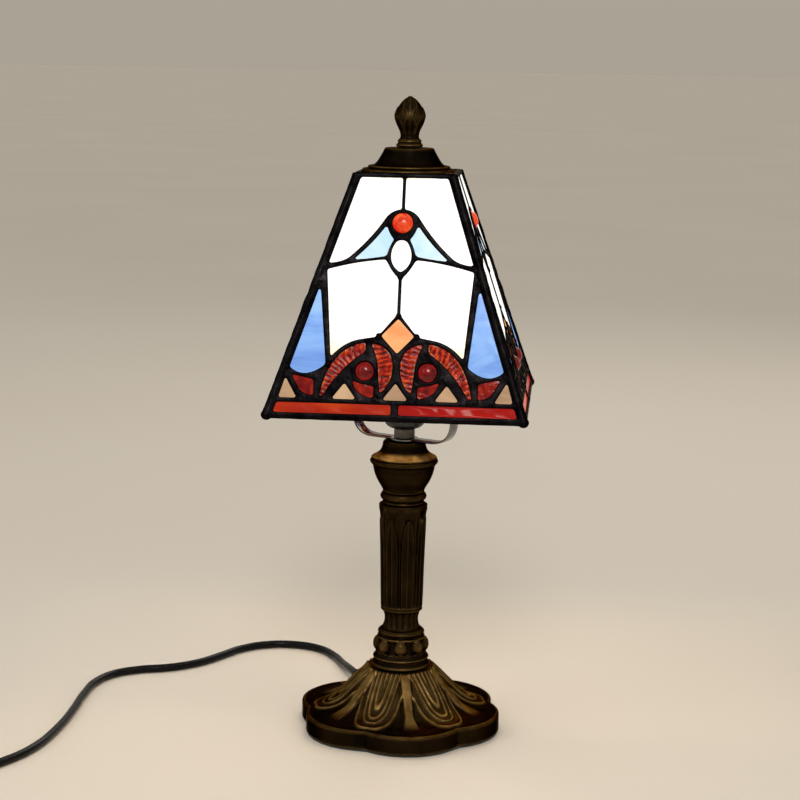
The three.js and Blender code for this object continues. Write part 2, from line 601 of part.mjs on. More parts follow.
function addSwitch() {
  const { length, width, split, top, axis } = SWITCH;
  const place = (geometry) => geometry.translate(SWITCH.x, SWITCH.y, 0);
  const inside = roundedBar(length - 4, width - 4);
  const cordWay = new THREE.CylinderGeometry(CORD_RADIUS + GAP, CORD_RADIUS + GAP, length + 2, 12)
    .rotateZ(Math.PI / 2).translate(0, 0, axis);
  const tray = slab(roundedBar(length, width), 0.2, split);
  add('switch_base', place(cut(tray, slab(inside, 2.2, split + 1), cordWay)), blackPlastic);
  const cover = slab(roundedBar(length, width), split + GAP, top);
  const slot = box([-ROCKER.length / 2 - 0.7, -ROCKER.width / 2 - 0.5, split],
    [ROCKER.length / 2 + 0.7, ROCKER.width / 2 + 0.5, top + 1]);
  add('switch_cover', place(cut(cover, slab(inside, split, top - 2), slot, cordWay)), blackPlastic);
  const half = ROCKER.length / 2;
  const crest = top + 1.1 - ROCKER.pivot;
  const rocker = slab(polygon([
    [-half, crest], [-half, -1.2], [-3.6, -2.6], [3.6, -2.6], [half, -1.2], [half, crest], [0, crest - 0.9],
  ]), -ROCKER.width / 2, ROCKER.width / 2);
  rocker.rotateX(Math.PI / 2).rotateY(ROCKER.tilt).translate(0, 0, ROCKER.pivot);
  add('switch_rocker', place(rocker), blackPlastic);
}

function addCoil() {
  const { inner, outer, low, step, high } = COIL;
  const ring = turnedRing([
    [inner, low], [outer, low], [outer, step], [outer - 2.4, high], [inner + 2.4, high], [inner, step],
  ], 32);
  add('cord_coil', ring.translate(COIL.x, COIL.y, 0), cordPlastic);
}

function addPlug() {
  const along = (geometry) => geometry.rotateX(-Math.PI / 2).translate(PLUG.x, 0, PLUG.axis);
  const boot = turned([
    [0, PLUG.boot], [3.4, PLUG.boot], [4.6, PLUG.start - GAP], [0, PLUG.start - GAP],
  ], 16);
  add('plug_boot', along(boot), blackPlastic);
  const body = slab(polygon([
    [-6, PLUG.start], [6, PLUG.start], [10, PLUG.start + 8], [10.5, PLUG.face], [-10.5, PLUG.face],
    [-10, PLUG.start + 8],
  ]), 0.2, 2 * PLUG.axis - 0.2);
  add('plug_body', body.translate(PLUG.x, 0, 0), blackPlastic);
  [['left', -6.35], ['right', 6.35]].forEach(([hand, offset]) => {
    const x = PLUG.x + offset;
    const start = PLUG.face + GAP;
    const blade = box([x - 0.75, start, PLUG.axis - 3.17], [x + 0.75, start + 17.5, PLUG.axis + 3.17]);
    add(`plug_blade_${hand}`, blade, brass);
  });
}

function addCord() {
  addBoot();
  add('cord_lead', tubeAlong(LEAD_ROUTE, CORD_RADIUS, 40, 8), cordPlastic);
  addSwitch();
  add('cord_to_coil', tubeAlong(COIL_ENTRY, CORD_RADIUS, 4, 8), cordPlastic);
  addCoil();
  add('cord_tail', tubeAlong(COIL_TAIL, CORD_RADIUS, 6, 8), cordPlastic);
  addPlug();
}

addBase();
addColumn();
addHarp();
addLampholder();
addBulb();
addShade();
addFinial();
addCord();

export default lamp;
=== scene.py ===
"""A lit table lamp: a four-sided stained glass shade on a dark bronze column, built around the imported
frame."""

import math

import bmesh
import bpy
import numpy as np
from mathutils import Matrix, Vector, noise
from mathutils.geometry import delaunay_2d_cdt


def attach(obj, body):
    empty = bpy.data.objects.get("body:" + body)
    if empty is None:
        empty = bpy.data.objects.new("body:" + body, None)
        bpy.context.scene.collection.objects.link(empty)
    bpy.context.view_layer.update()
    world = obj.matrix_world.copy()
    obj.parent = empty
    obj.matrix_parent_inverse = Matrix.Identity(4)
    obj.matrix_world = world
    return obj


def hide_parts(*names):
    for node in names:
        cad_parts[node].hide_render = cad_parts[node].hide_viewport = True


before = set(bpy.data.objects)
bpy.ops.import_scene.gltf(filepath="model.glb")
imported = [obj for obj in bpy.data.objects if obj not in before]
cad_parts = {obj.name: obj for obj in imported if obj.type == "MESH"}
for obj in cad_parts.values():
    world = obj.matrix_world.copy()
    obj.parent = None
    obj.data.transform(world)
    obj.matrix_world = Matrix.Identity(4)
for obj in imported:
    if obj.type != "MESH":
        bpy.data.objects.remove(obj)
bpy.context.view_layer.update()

# Lengths are in millimetres until a mesh or curve is made, where MM turns them into metres.
MM = 0.001

# ---------------------------------------------------------------- camera, light and floor

CAMERA_DISTANCE = 1.1493
CAMERA_HEIGHT = 0.3994
CAMERA_AZIMUTH = math.radians(4.734)
CAMERA_PAN = math.radians(-0.152)
CAMERA_PITCH = math.radians(9.797)
CAMERA_ROLL = math.radians(0.979)
CAMERA_LENS = 88.1

HORIZON = (0.4, 0.36, 0.3, 1)
OVERHEAD = (0.56, 0.54, 0.5, 1)
FLOOR_REACH = 90000

scene = bpy.context.scene


def add_camera():
    camera = bpy.data.objects.new("camera", bpy.data.cameras.new("camera"))
    camera.data.lens = CAMERA_LENS
    camera.data.sensor_width = 36
    place = Vector((math.sin(CAMERA_AZIMUTH), -math.cos(CAMERA_AZIMUTH), 0)) * CAMERA_DISTANCE
    place.z = CAMERA_HEIGHT
    camera.matrix_world = (
        Matrix.Translation(place)
        @ Matrix.Rotation(CAMERA_AZIMUTH - CAMERA_PAN, 4, "Z")
        @ Matrix.Rotation(math.pi / 2 - CAMERA_PITCH, 4, "X")
        @ Matrix.Rotation(CAMERA_ROLL, 4, "Z")
    )
    scene.collection.objects.link(camera)
    scene.camera = camera


def add_light(name, place, target, size, power, colour):
    light = bpy.data.lights.new(name, "AREA")
    light.shape = "DISK"
    light.size = size
    light.energy = power
    light.color = colour
    lamp = bpy.data.objects.new(name, light)
    aim = Vector(target) - Vector(place)
    lamp.matrix_world = Matrix.Translation(place) @ aim.to_track_quat("-Z", "Y").to_matrix().to_4x4()
    scene.collection.objects.link(lamp)


def add_studio():
    world = bpy.data.worlds.new("studio")
    world.use_nodes = True
    nodes, links = world.node_tree.nodes, world.node_tree.links
    # The sky is as bright as the floor at the horizon, and brighter overhead.
    direction = nodes.new("ShaderNodeTexCoord").outputs["Generated"]
    split = nodes.new("ShaderNodeSeparateXYZ")
    ramp = nodes.new("ShaderNodeValToRGB")
    ramp.color_ramp.elements[0].position = 0.02
    ramp.color_ramp.elements[0].color = HORIZON
    ramp.color_ramp.elements[1].position = 0.5
    ramp.color_ramp.elements[1].color = OVERHEAD
    links.new(direction, split.inputs[0])
    links.new(split.outputs["Z"], ramp.inputs["Fac"])
    links.new(ramp.outputs["Color"], nodes["Background"].inputs["Color"])
    scene.world = world
    scene.view_settings.view_transform = "Standard"
    add_light("key", (0.1, -1.3, 1.25), (0, 0, 0.15), 0.5, 9, (1, 0.96, 0.9))
    add_light("fill", (-1.3, -0.9, 1.3), (0, 0, 0.15), 1.0, 3, (0.95, 0.97, 1))
    add_light("rim", (0.3, 1.3, 1.2), (0, 0, 0.2), 0.8, 4, (1, 0.95, 0.88))


add_camera()
add_studio()

# ---------------------------------------------------------------- lines and meshes

# How bright sharp edges are painted, by abrasion and as painted highlight.
EDGE_WEAR_AND_HIGHLIGHT = 0.9


def between(start, end, share):
    return start + (end - start) * share


def smoothstep(value, low, high):
    share = np.clip((value - low) / (high - low), 0, 1)
    return share * share * (3 - 2 * share)


def quadratic(start, control, end, steps):
    """Points after the start of a curve with one control point."""
    shares = [(i + 1) / steps for i in range(steps)]
    return [
        tuple((1 - t) ** 2 * a + 2 * t * (1 - t) * b + t * t * c for a, b, c in zip(start, control, end))
        for t in shares
    ]


def smooth_through(points, steps):
    """A Catmull-Rom line through the points."""
    given = [np.array(p, float) for p in points]
    given = [2 * given[0] - given[1], *given, 2 * given[-1] - given[-2]]
    line = []
    for before, start, end, after in zip(given, given[1:], given[2:], given[3:]):
        for i in range(steps):
            t = i / steps
            line.append(0.5 * (
                2 * start + (end - before) * t
                + (2 * before - 5 * start + 4 * end - after) * t * t
                + (3 * start - before - 3 * end + after) * t ** 3
            ))
    return [tuple(p) for p in [*line, given[-2]]]


def profile(*runs, steps=5):
    """A lathe's profile. Each run goes on from the end of the last one, and is smoothed, so that the
    corners are where the runs meet."""
    line = runs[0][:1]
    for run in (runs[0][1:], *runs[1:]):
        through = [line[-1], *run]
        line += smooth_through(through, steps)[1:] if len(through) > 2 else run
    return line


def finish_mesh(name, mesh, material, body, sharp=40):
    """Links a mesh in millimetres as a piece that rides on a body."""
    mesh.transform(Matrix.Scale(MM, 4))
    worker = bmesh.new()
    worker.from_mesh(mesh)
    bmesh.ops.recalc_face_normals(worker, faces=worker.faces)
    worker.to_mesh(mesh)
    worker.free()
    mesh.shade_smooth()
    mesh.set_sharp_from_angle(angle=math.radians(sharp))
    mesh.materials.append(material)
    piece = bpy.data.objects.new(name, mesh)
    scene.collection.objects.link(piece)
    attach(piece, body)
    return piece


def mesh_from(name, points, faces):
    mesh = bpy.data.meshes.new(name)
    mesh.from_pydata([tuple(p) for p in points], [], faces)
    return mesh


def join_parts(parts):
    """One list of points and one of faces, from several pairs of them."""
    points, faces = [], []
    for part_points, part_faces in parts:
        start = len(points)
        points += list(part_points)
        faces += [[start + i for i in face] for face in part_faces]
    return points, faces


def skin(rings, closed=False):
    """A closed surface over rings of points. It is capped at both ends unless its last ring meets its
    first."""
    count = len(rings[0])
    points = [p for ring in rings for p in ring]
    faces = []
    for i in range(len(rings) if closed else len(rings) - 1):
        low, high = i * count, (i + 1) % len(rings) * count
        for j in range(count):
            k = (j + 1) % count
            faces.append([low + j, low + k, high + k, high + j])
    if not closed:
        faces.append(list(range(count))[::-1])
        faces.append([(len(rings) - 1) * count + j for j in range(count)])
    return points, faces


def edge_wear_and_highlight(line, closed):
    """How far each point of a profile stands out as an edge, from 0 to 1, by how sharply the line
    turns there. Edges are painted bright by it, by abrasion and as painted highlight."""
    ahead = np.roll(line, -1, 0) - line
    behind = line - np.roll(line, 1, 0)
    turned = np.arctan2(behind[:, 0] * ahead[:, 1] - behind[:, 1] * ahead[:, 0], (behind * ahead).sum(1))
    spacing = (np.linalg.norm(ahead, axis=1) + np.linalg.norm(behind, axis=1)) / 2
    wear_and_highlight = np.clip(turned / np.maximum(spacing, 0.3) * EDGE_WEAR_AND_HIGHLIGHT, 0, 1)
    if not closed:
        wear_and_highlight[0] = wear_and_highlight[-1] = 0
    return np.maximum(wear_and_highlight, (np.roll(wear_and_highlight, 1) + np.roll(wear_and_highlight, -1)) * 0.35)


def turn(line, segments=64, relief=None, edge=1.0):
    """A surface of revolution about Z, and how bright each of its points is painted, by abrasion and as
    painted highlight. A line that starts and ends on the axis is solid, and any other is a ring that
    closes on itself. relief(radius, angle, height) gives how far the surface moves out along its normal,
    and how bright that paints it. edge is how bright its sharpest edges are painted."""
    line = np.array(line, float)
    solid = line[0][0] < 1e-6 and line[-1][0] < 1e-6
    if solid:
        line = line[1:-1]
    along = np.gradient(line, axis=0) if solid else np.roll(line, -1, 0) - np.roll(line, 1, 0)
    normals = np.stack([along[:, 1], -along[:, 0]], 1)
    normals /= np.maximum(np.linalg.norm(normals, axis=1, keepdims=True), 1e-9)
    angles = np.arange(segments) * 2 * math.pi / segments
    radius = np.repeat(line[:, :1], segments, 1)
    height = np.repeat(line[:, 1:], segments, 1)
    around = np.repeat(angles[None], len(line), 0)
    wear_and_highlight = np.repeat(edge * edge_wear_and_highlight(line, not solid)[:, None], segments, 1)
    if relief:
        raised, rubbed_and_lit = relief(radius, around, height)
        wear_and_highlight = np.maximum(wear_and_highlight, rubbed_and_lit)
        radius = radius + raised * normals[:, :1]
        height = height + raised * normals[:, 1:]
    grid = np.stack([radius * np.cos(around), radius * np.sin(around), height], 2)
    points, faces = skin([[tuple(p) for p in ring] for ring in grid], closed=not solid)
    return points, faces, wear_and_highlight.ravel()


def turned_piece(
    name, line, material, body, replaced, segments=64, relief=None, wear_and_highlight_share=0.35, edge=1.0,
):
    """A turned surface as a piece, with a share from 0 to 1 of how much its abrasion and painted highlight
    show.
    """
    points, faces, wear_and_highlight = turn(line, segments, relief, edge)
    mesh = mesh_from(name, points, faces)
    store_wear_and_highlight(mesh, wear_and_highlight * wear_and_highlight_share)
    piece = finish_mesh(name, mesh, material, body)
    if replaced:
        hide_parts(*replaced)
    return piece


def store_wear_and_highlight(mesh, values):
    """Keeps how bright each point is painted, from 0 to 1, by abrasion and as painted highlight, for the
    metal's material to read."""
    attribute = mesh.attributes.new("wear_and_highlight", "FLOAT", "POINT")
    attribute.data.foreach_set("value", np.clip(values, 0, 1).astype(np.float32))


def ridge(distance, half):
    """The height, up to 1, of a rounded ridge at a distance from its middle."""
    return np.exp(-(distance / half) ** 2)


def off_nearest(angle, count, first=0.0):
    """The angle to the nearest of some evenly spaced directions."""
    pitch = 2 * math.pi / count
    turns = (angle - first) / pitch
    return (turns - np.round(turns)) * pitch


def pairs(loop):
    """Each point of a closed loop with the one after it."""
    return zip(loop, [*loop[1:], loop[0]])


def triples(loop):
    """Each point of a closed loop between the one before it and the one after it."""
    return zip([loop[-1], *loop[:-1]], loop, [*loop[1:], loop[0]])


def circle(radius, count, centre=(0, 0)):
    angles = [2 * math.pi * i / count for i in range(count)]
    return [(centre[0] + radius * math.cos(a), centre[1] + radius * math.sin(a)) for a in angles]


def inside(point, loop):
    """Whether a flat point is inside a loop, by how often a ray from it crosses the loop."""
    x, y = point
    crossings = 0
    for (ax, ay), (bx, by) in pairs(loop):
        if (ay > y) != (by > y) and x < ax + (y - ay) / (by - ay) * (bx - ax):
            crossings += 1
    return crossings % 2 == 1


def distance_to(point, loop):
    """The shortest distance from a flat point to a loop."""
    p = Vector(point)
    shortest = math.inf
    for start, end in pairs(loop):
        a, b = Vector(start), Vector(end)
        share = max(0, min(1, (p - a).dot(b - a) / max((b - a).length_squared, 1e-12)))
        shortest = min(shortest, (p - a.lerp(b, share)).length)
    return shortest


def in_plate(points, outline, holes):
    """Whether the middle of some flat points is in a plate, and not in one of its holes."""
    middle = sum(points, Vector((0, 0))) / len(points)
    return inside(middle, outline) and not any(inside(middle, hole) for hole in holes)


def slab(loops, low, high, inner=()):
    """A closed plate between two heights. The first loop is its outline, the others are holes, and
    inner holds points inside it. low and high are heights, or functions of a flat point."""
    flat = [Vector(p) for loop in loops for p in loop] + [Vector(p) for p in inner]
    edges, start = [], 0
    for loop in loops:
        edges += [(start + i, start + (i + 1) % len(loop)) for i in range(len(loop))]
        start += len(loop)
    kept, _, triangles, *_ = delaunay_2d_cdt(flat, edges, [], 1, 1e-7)
    outline, *holes = loops
    triangles = [face for face in triangles if in_plate([kept[i] for i in face], outline, holes)]
    bottom = [(p.x, p.y, low(p) if callable(low) else low) for p in kept]
    top = [(p.x, p.y, high(p) if callable(high) else high) for p in kept]
    count = len(kept)
    rims = {}
    faces = []
    for face in triangles:
        faces.append([i + count for i in face])
        faces.append(list(face)[::-1])
        for a, b in pairs(face):
            if (b, a) in rims:
                del rims[(b, a)]
            else:
                rims[(a, b)] = True
    faces += [[a, b, b + count, a + count] for a, b in rims]
    return bottom + top, faces


# ---------------------------------------------------------------- materials


class Look:
    """A node material with one Principled shader. Numbers that are the same all over go on its
    sockets."""

    def __init__(self, name, **sockets):
        self.material = bpy.data.materials.new(name)
        self.material.use_nodes = True
        self.tree = self.material.node_tree
        self.shader = self.tree.nodes["Principled BSDF"]
        for socket, value in sockets.items():
            self.shader.inputs[socket.replace("_", " ")].default_value = value
        self.place = self.tree.nodes.new("ShaderNodeTexCoord").outputs["Object"]

    def node(self, kind, inputs=None, **settings):
        made = self.tree.nodes.new("ShaderNode" + kind)
        for key, value in settings.items():
            setattr(made, key, value)
        for key, value in (inputs or {}).items():
            if isinstance(value, bpy.types.NodeSocket):
                self.tree.links.new(value, made.inputs[key])
            else:
                made.inputs[key].default_value = value
        return made

    def stretched(self, scale, turn=(0, 0, 0)):
        return self.node("Mapping", {"Vector": self.place, "Scale": scale, "Rotation": turn}).outputs[0]

    def noise(self, scale, detail=3, place=None, distortion=0):
        inputs = {"Vector": place or self.place, "Scale": scale, "Detail": detail, "Distortion": distortion}
        return self.node("TexNoise", inputs).outputs["Fac"]

    def ramp(self, value, *stops):
        """Turns a number into a colour or a grey through (position, colour) stops."""
        made = self.node("ValToRGB", {"Fac": value})
        elements = made.color_ramp.elements
        while len(elements) < len(stops):
            elements.new(0.5)
        for element, (position, colour) in zip(elements, stops):
            element.position = position
            element.color = colour if hasattr(colour, "__len__") else (colour, colour, colour, 1)
        return made.outputs["Color"]

    def maths(self, operation, first, second=0.0, third=0.0):
        return self.node("Math", {0: first, 1: second, 2: third}, operation=operation).outputs[0]

    def mix(self, share, first, second):
        made = self.node("Mix", data_type="RGBA")
        for socket, value in zip((0, 6, 7), (share, first, second)):
            if isinstance(value, bpy.types.NodeSocket):
                self.tree.links.new(value, made.inputs[socket])
            else:
                made.inputs[socket].default_value = value
        return made.outputs[2]

    def distance_from(self, centre):
        """Distance in metres from a point of the object."""
        return self.node("VectorMath", {0: self.place, 1: centre}, operation="DISTANCE").outputs["Value"]

    def set(self, socket, value):
        self.tree.links.new(value, self.shader.inputs[socket])

    def bump(self, height, strength, distance):
        made = self.node("Bump", {"Height": height, "Strength": strength, "Distance": distance})
        self.set("Normal", made.outputs[0])


def rgb(red, green, blue):
    """A colour given in display values from 0 to 255, as the linear colour that nodes take."""
    def linear(value):
        value /= 255
        return value / 12.92 if value <= 0.04045 else ((value + 0.055) / 1.055) ** 2.4
    return (linear(red), linear(green), linear(blue), 1)


def bronze_look():
    look = Look("antique_bronze", Metallic=1.0, Specular_Tint=(0.3, 0.22, 0.12, 1))
    # Where the stored share is high the bronze is painted its bright colour: abrasion on ridges and edges,
    # and painted highlight.
    worn_and_highlit = look.node("Attribute", attribute_name="wear_and_highlight").outputs["Fac"]
    patches = look.noise(90, 5)
    share = look.maths("MULTIPLY", worn_and_highlit, look.maths("MULTIPLY_ADD", patches, 0.9, 0.45))
    dark = look.ramp(look.noise(38, 4), (0.3, rgb(14, 11, 6)), (0.7, rgb(40, 30, 16)))
    bright = look.ramp(look.noise(160, 3), (0.3, rgb(132, 96, 46)), (0.75, rgb(204, 168, 104)))
    look.set("Base Color", look.mix(share, dark, bright))
    look.set("Roughness", look.ramp(look.noise(210, 5), (0.3, 0.3), (0.75, 0.52)))
    look.bump(look.noise(900, 4), 0.25, 0.0004)
    return look.material


def solder_look():
    look = Look("black_patina_solder", Metallic=1.0, Specular_Tint=(0.4, 0.38, 0.36, 1))
    look.set("Base Color", look.ramp(look.noise(120, 5), (0.35, rgb(8, 7, 9)), (0.8, rgb(34, 31, 33))))
    look.set("Roughness", look.ramp(look.noise(260, 4), (0.3, 0.3), (0.8, 0.55)))
    look.bump(look.noise(420, 3), 0.4, 0.0005)
    return look.material


def metal_look(name, low, high, rough, stretch=(1, 1, 1)):
    look = Look(name, Metallic=1.0)
    place = look.stretched(stretch)
    look.set("Base Color", look.ramp(look.noise(180, 4, place), (0.3, low), (0.7, high)))
    look.set("Roughness", look.ramp(look.noise(320, 4, place), (0.3, rough * 0.75), (0.75, rough * 1.3)))
    look.bump(look.noise(700, 3, place), 0.12, 0.0002)
    return look.material


def plastic_look(name, low, high, rough, grain=700, gloss=0.5):
    look = Look(name, Specular_IOR_Level=gloss)
    look.set("Base Color", look.ramp(look.noise(160, 4), (0.3, low), (0.7, high)))
    look.set("Roughness", look.ramp(look.noise(260, 3), (0.3, rough * 0.8), (0.75, rough * 1.25)))
    look.bump(look.noise(grain, 3), 0.15, 0.0002)
    return look.material


def felt_look():
    look = Look("felt", Roughness=0.95, Sheen_Weight=0.4)
    look.set("Base Color", look.ramp(look.noise(900, 5), (0.3, rgb(24, 28, 25)), (0.75, rgb(52, 58, 52))))
    look.bump(look.noise(1500, 4), 0.6, 0.0006)
    return look.material


def floor_look():
    look = Look("floor", Roughness=0.75)
    clouds = look.noise(1.5, 2)
    look.set("Base Color", look.ramp(clouds, (0.3, rgb(221, 212, 199)), (0.7, rgb(224, 216, 204))))
    return look.material


BULB_CENTRE = Vector((0, 0, 262)) * MM


def glass_look(name, tones, glow, pattern="streaks", rough=0.16, fade=(0.06, 0.11), low=0.72):
    """Lit art glass. tones runs from its darkest streak to its brightest, glow is how brightly it is
    lit from behind, and that falls to low of itself between the two distances in fade from the
    bulb."""
    look = Look(name, Roughness=rough, Specular_IOR_Level=0.14, Emission_Strength=glow)
    if pattern == "streaks":
        place = look.stretched((0.6, 0.6, 1.9), (0.25, 0.2, 0))
        figure = look.noise(30, 4, place, 1.2)
        surface = look.noise(60, 2)
    elif pattern == "bands":
        bands = look.node("Attribute", attribute_name="band").outputs["Fac"]
        ripple = look.maths("SINE", look.maths("MULTIPLY_ADD", look.noise(150, 4), 12.0, bands))
        fading = look.ramp(look.noise(75, 2), (0.35, 0.03), (0.7, 0.2))
        figure = look.maths("MULTIPLY_ADD", ripple, fading, look.noise(330, 5))
        surface = figure
    else:
        figure = look.noise(150, 4, distortion=1.2)
        surface = look.noise(260, 2)
    stops = [(0.3 + 0.4 * i / (len(tones) - 1), tone) for i, tone in enumerate(tones)]
    colour = look.ramp(figure, *stops)
    near, far = fade
    away = look.node("MapRange", {
        "Value": look.distance_from(BULB_CENTRE), "From Min": near, "From Max": far,
        "To Min": 1.0, "To Max": low,
    }).outputs[0]
    if pattern == "bands":
        # Light leaks round the edges of a thick pane.
        rim = look.node("Attribute", attribute_name="rim").outputs["Fac"]
        leak = look.maths("MULTIPLY", rim, look.ramp(look.noise(110, 2), (0.46, 0.0), (0.66, 0.6)))
        colour = look.mix(leak, colour, rgb(236, 140, 52))
    lit = look.node("VectorMath", {0: colour, "Scale": away}, operation="SCALE").outputs[0]
    look.set("Emission Color", lit)
    look.set("Base Color", look.mix(0.85, colour, (0.003, 0.003, 0.003, 1)))
    look.bump(surface, 0.35, 0.0006)
    return look.material


def bulb_look():
    look = Look("lit_bulb", Roughness=0.3, Emission_Strength=3.0)
    away = look.distance_from(BULB_CENTRE)
    look.set("Emission Color", look.ramp(away, (0, rgb(255, 244, 214)), (0.03, rgb(255, 214, 150))))
    look.set("Base Color", look.ramp(look.noise(200, 2), (0, rgb(250, 246, 236)), (1, rgb(240, 234, 222))))
    return look.material


BRONZE = bronze_look()
SOLDER = solder_look()
CHROME = metal_look("chrome", rgb(104, 103, 104), rgb(136, 135, 137), 0.13)
BRASS = metal_look("brass", rgb(168, 126, 54), rgb(196, 156, 82), 0.28)
STEEL = metal_look("dull_steel", rgb(84, 82, 76), rgb(116, 112, 104), 0.38)
IRON = metal_look("cast_iron", rgb(52, 48, 44), rgb(80, 74, 68), 0.6)
BLACK = plastic_look("black_plastic", rgb(12, 12, 13), rgb(24, 24, 25), 0.32)
CORD = plastic_look("cord_sleeve", rgb(5, 5, 6), rgb(12, 12, 14), 0.26, grain=1400, gloss=0.14)
FELT = felt_look()
BULB = bulb_look()

# ---------------------------------------------------------------- floor


def add_floor():
    points = [(x, y, 0) for x, y in circle(FLOOR_REACH, 96)]
    mesh = mesh_from("floor", points, [list(range(96))])
    mesh.transform(Matrix.Scale(MM, 4))
    mesh.materials.append(floor_look())
    floor = bpy.data.objects.new("floor", mesh)
    scene.collection.objects.link(floor)


add_floor()

# ---------------------------------------------------------------- cord

CORD_RADIUS = 2.5
CORD_AXIS = 2.7
EXIT_ANGLE = math.radians(115)
EXIT_HEIGHT = 6
BOOT_END = 84
SWITCH_X, SWITCH_Y, SWITCH_AXIS, SWITCH_LENGTH, SWITCH_WIDTH = -284, -128, 5.5, 56, 22
ROCKER_PIVOT, ROCKER_REST_TILT = 11.2, math.radians(8)
COIL_CENTRE = (-357.5, -90.5)
# The radius of each turn of the coil: four turns out to in on the table, then the rest on top of them.
COIL_TURNS = (37.5, 32.5, 27.5, 22.5, 25, 30, 35, 38.5)
COIL_ENDS = 6.5
COIL_LAYER_HEIGHTS = (CORD_AXIS, 7.1)
TURNS_BELOW = 4
PLUG_X, PLUG_BOOT, PLUG_START, PLUG_FACE, PLUG_AXIS = -319, -20, -2, 26, 6.2
BLADE_OFFSET = 6.35

CORD_EXIT = (BOOT_END * math.cos(EXIT_ANGLE), BOOT_END * math.sin(EXIT_ANGLE), EXIT_HEIGHT)
LEAD_ROUTE = [
    (-41, 88.5, 5.2), (-47.5, 105, 3.4), (-55.5, 123, CORD_AXIS), (-67.5, 137.5, CORD_AXIS),
    (-85, 144.2, CORD_AXIS), (-104, 141.5, CORD_AXIS), (-119.5, 130, CORD_AXIS), (-131, 112, CORD_AXIS),
    (-143.5, 94, CORD_AXIS), (-160, 81.5, CORD_AXIS), (-178, 74.5, CORD_AXIS), (-192.5, 63.5, CORD_AXIS),
    (-200.5, 45, CORD_AXIS), (-202, 20.5, CORD_AXIS), (-201, -12, CORD_AXIS), (-202, -47, CORD_AXIS),
    (-206.5, -78, CORD_AXIS), (-216, -101, CORD_AXIS), (-230, -118.5, 2.9), (-243.5, -126.3, 4.4),
]
THROUGH_SWITCH = [
    (SWITCH_X + SWITCH_LENGTH / 2, SWITCH_Y, SWITCH_AXIS), (SWITCH_X, SWITCH_Y, SWITCH_AXIS),
    (SWITCH_X - SWITCH_LENGTH / 2, SWITCH_Y, SWITCH_AXIS), (-322, SWITCH_Y, 3.6),
    (-336, SWITCH_Y, CORD_AXIS),
]
TAIL_ROUTE = [(-343, -51.2, 5.6), (-334, -49.2, 3.6), (-326, -44.4, 2.8), (-321.2, -37.4, 3.6),
              (PLUG_X, -29, 5.6), (PLUG_X, PLUG_BOOT, PLUG_AXIS)]


def coil_route():
    """Turns wound clockwise from the coil's front. Each turn keeps its radius for half a turn, then
    eases over to the next, and climbs to the second layer after the fourth."""
    route = []
    steps = 14
    for i in range(1, int(COIL_ENDS * steps) + 1):
        turns = i / steps
        whole = min(int(turns), len(COIL_TURNS) - 2)
        ease = float(smoothstep(turns - whole, 0.5, 1))
        if turns > COIL_ENDS - 0.5:
            ease = float(smoothstep(turns, COIL_ENDS - 0.5, COIL_ENDS + 0.1))
        radius = between(COIL_TURNS[whole], COIL_TURNS[whole + 1], ease)
        climb = float(smoothstep(turns, TURNS_BELOW - 0.5, TURNS_BELOW))
        angle = -math.pi / 2 - 2 * math.pi * turns
        route.append((
            COIL_CENTRE[0] + radius * math.cos(angle),
            COIL_CENTRE[1] + radius * math.sin(angle),
            between(*COIL_LAYER_HEIGHTS, climb),
        ))
    return route


def cord_length(route):
    line = smooth_through(route, 8)
    return sum(math.dist(a, b) for a, b in zip(line, line[1:]))


def add_cord():
    route = [CORD_EXIT, *LEAD_ROUTE, *THROUGH_SWITCH, *coil_route(), *TAIL_ROUTE]
    curve = bpy.data.curves.new("cord", "CURVE")
    curve.dimensions = "3D"
    curve.bevel_depth = CORD_RADIUS * MM
    curve.bevel_resolution = 5
    curve.resolution_u = 6
    curve.use_fill_caps = True
    spline = curve.splines.new("BEZIER")
    spline.bezier_points.add(len(route) - 1)
    for point, place in zip(spline.bezier_points, route):
        point.co = Vector(place) * MM
        point.handle_left_type = point.handle_right_type = "AUTO"
    curve.materials.append(CORD)
    cord = bpy.data.objects.new("cord", curve)
    scene.collection.objects.link(cord)
    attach(cord, "lamp")
    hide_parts("cord_lead", "cord_to_coil", "cord_coil", "cord_tail")
    return cord, cord_length(route) * MM


def rounded_bar(length, width, count=12):
    """The outline of a bar with half-round ends, along X."""
    straight = (length - width) / 2
    right = [(straight + width / 2 * math.cos(a), width / 2 * math.sin(a))
             for a in np.linspace(-math.pi / 2, math.pi / 2, count)]
    return right + [(-x, -y) for x, y in right]


def add_bevel(piece, width, segments=3, angle=40):
    bevel = piece.modifiers.new("soft_edges", "BEVEL")
    bevel.width = width * MM
    bevel.segments = segments
    bevel.limit_method = "ANGLE"
    bevel.angle_limit = math.radians(angle)
    bevel.harden_normals = False
    return piece


def slab_piece(name, loops, low, high, material, body, place=Matrix.Identity(4)):
    points, faces = slab(loops, low, high)
    mesh = mesh_from(name, points, faces)
    mesh.transform(place)
    return finish_mesh(name, mesh, material, body)


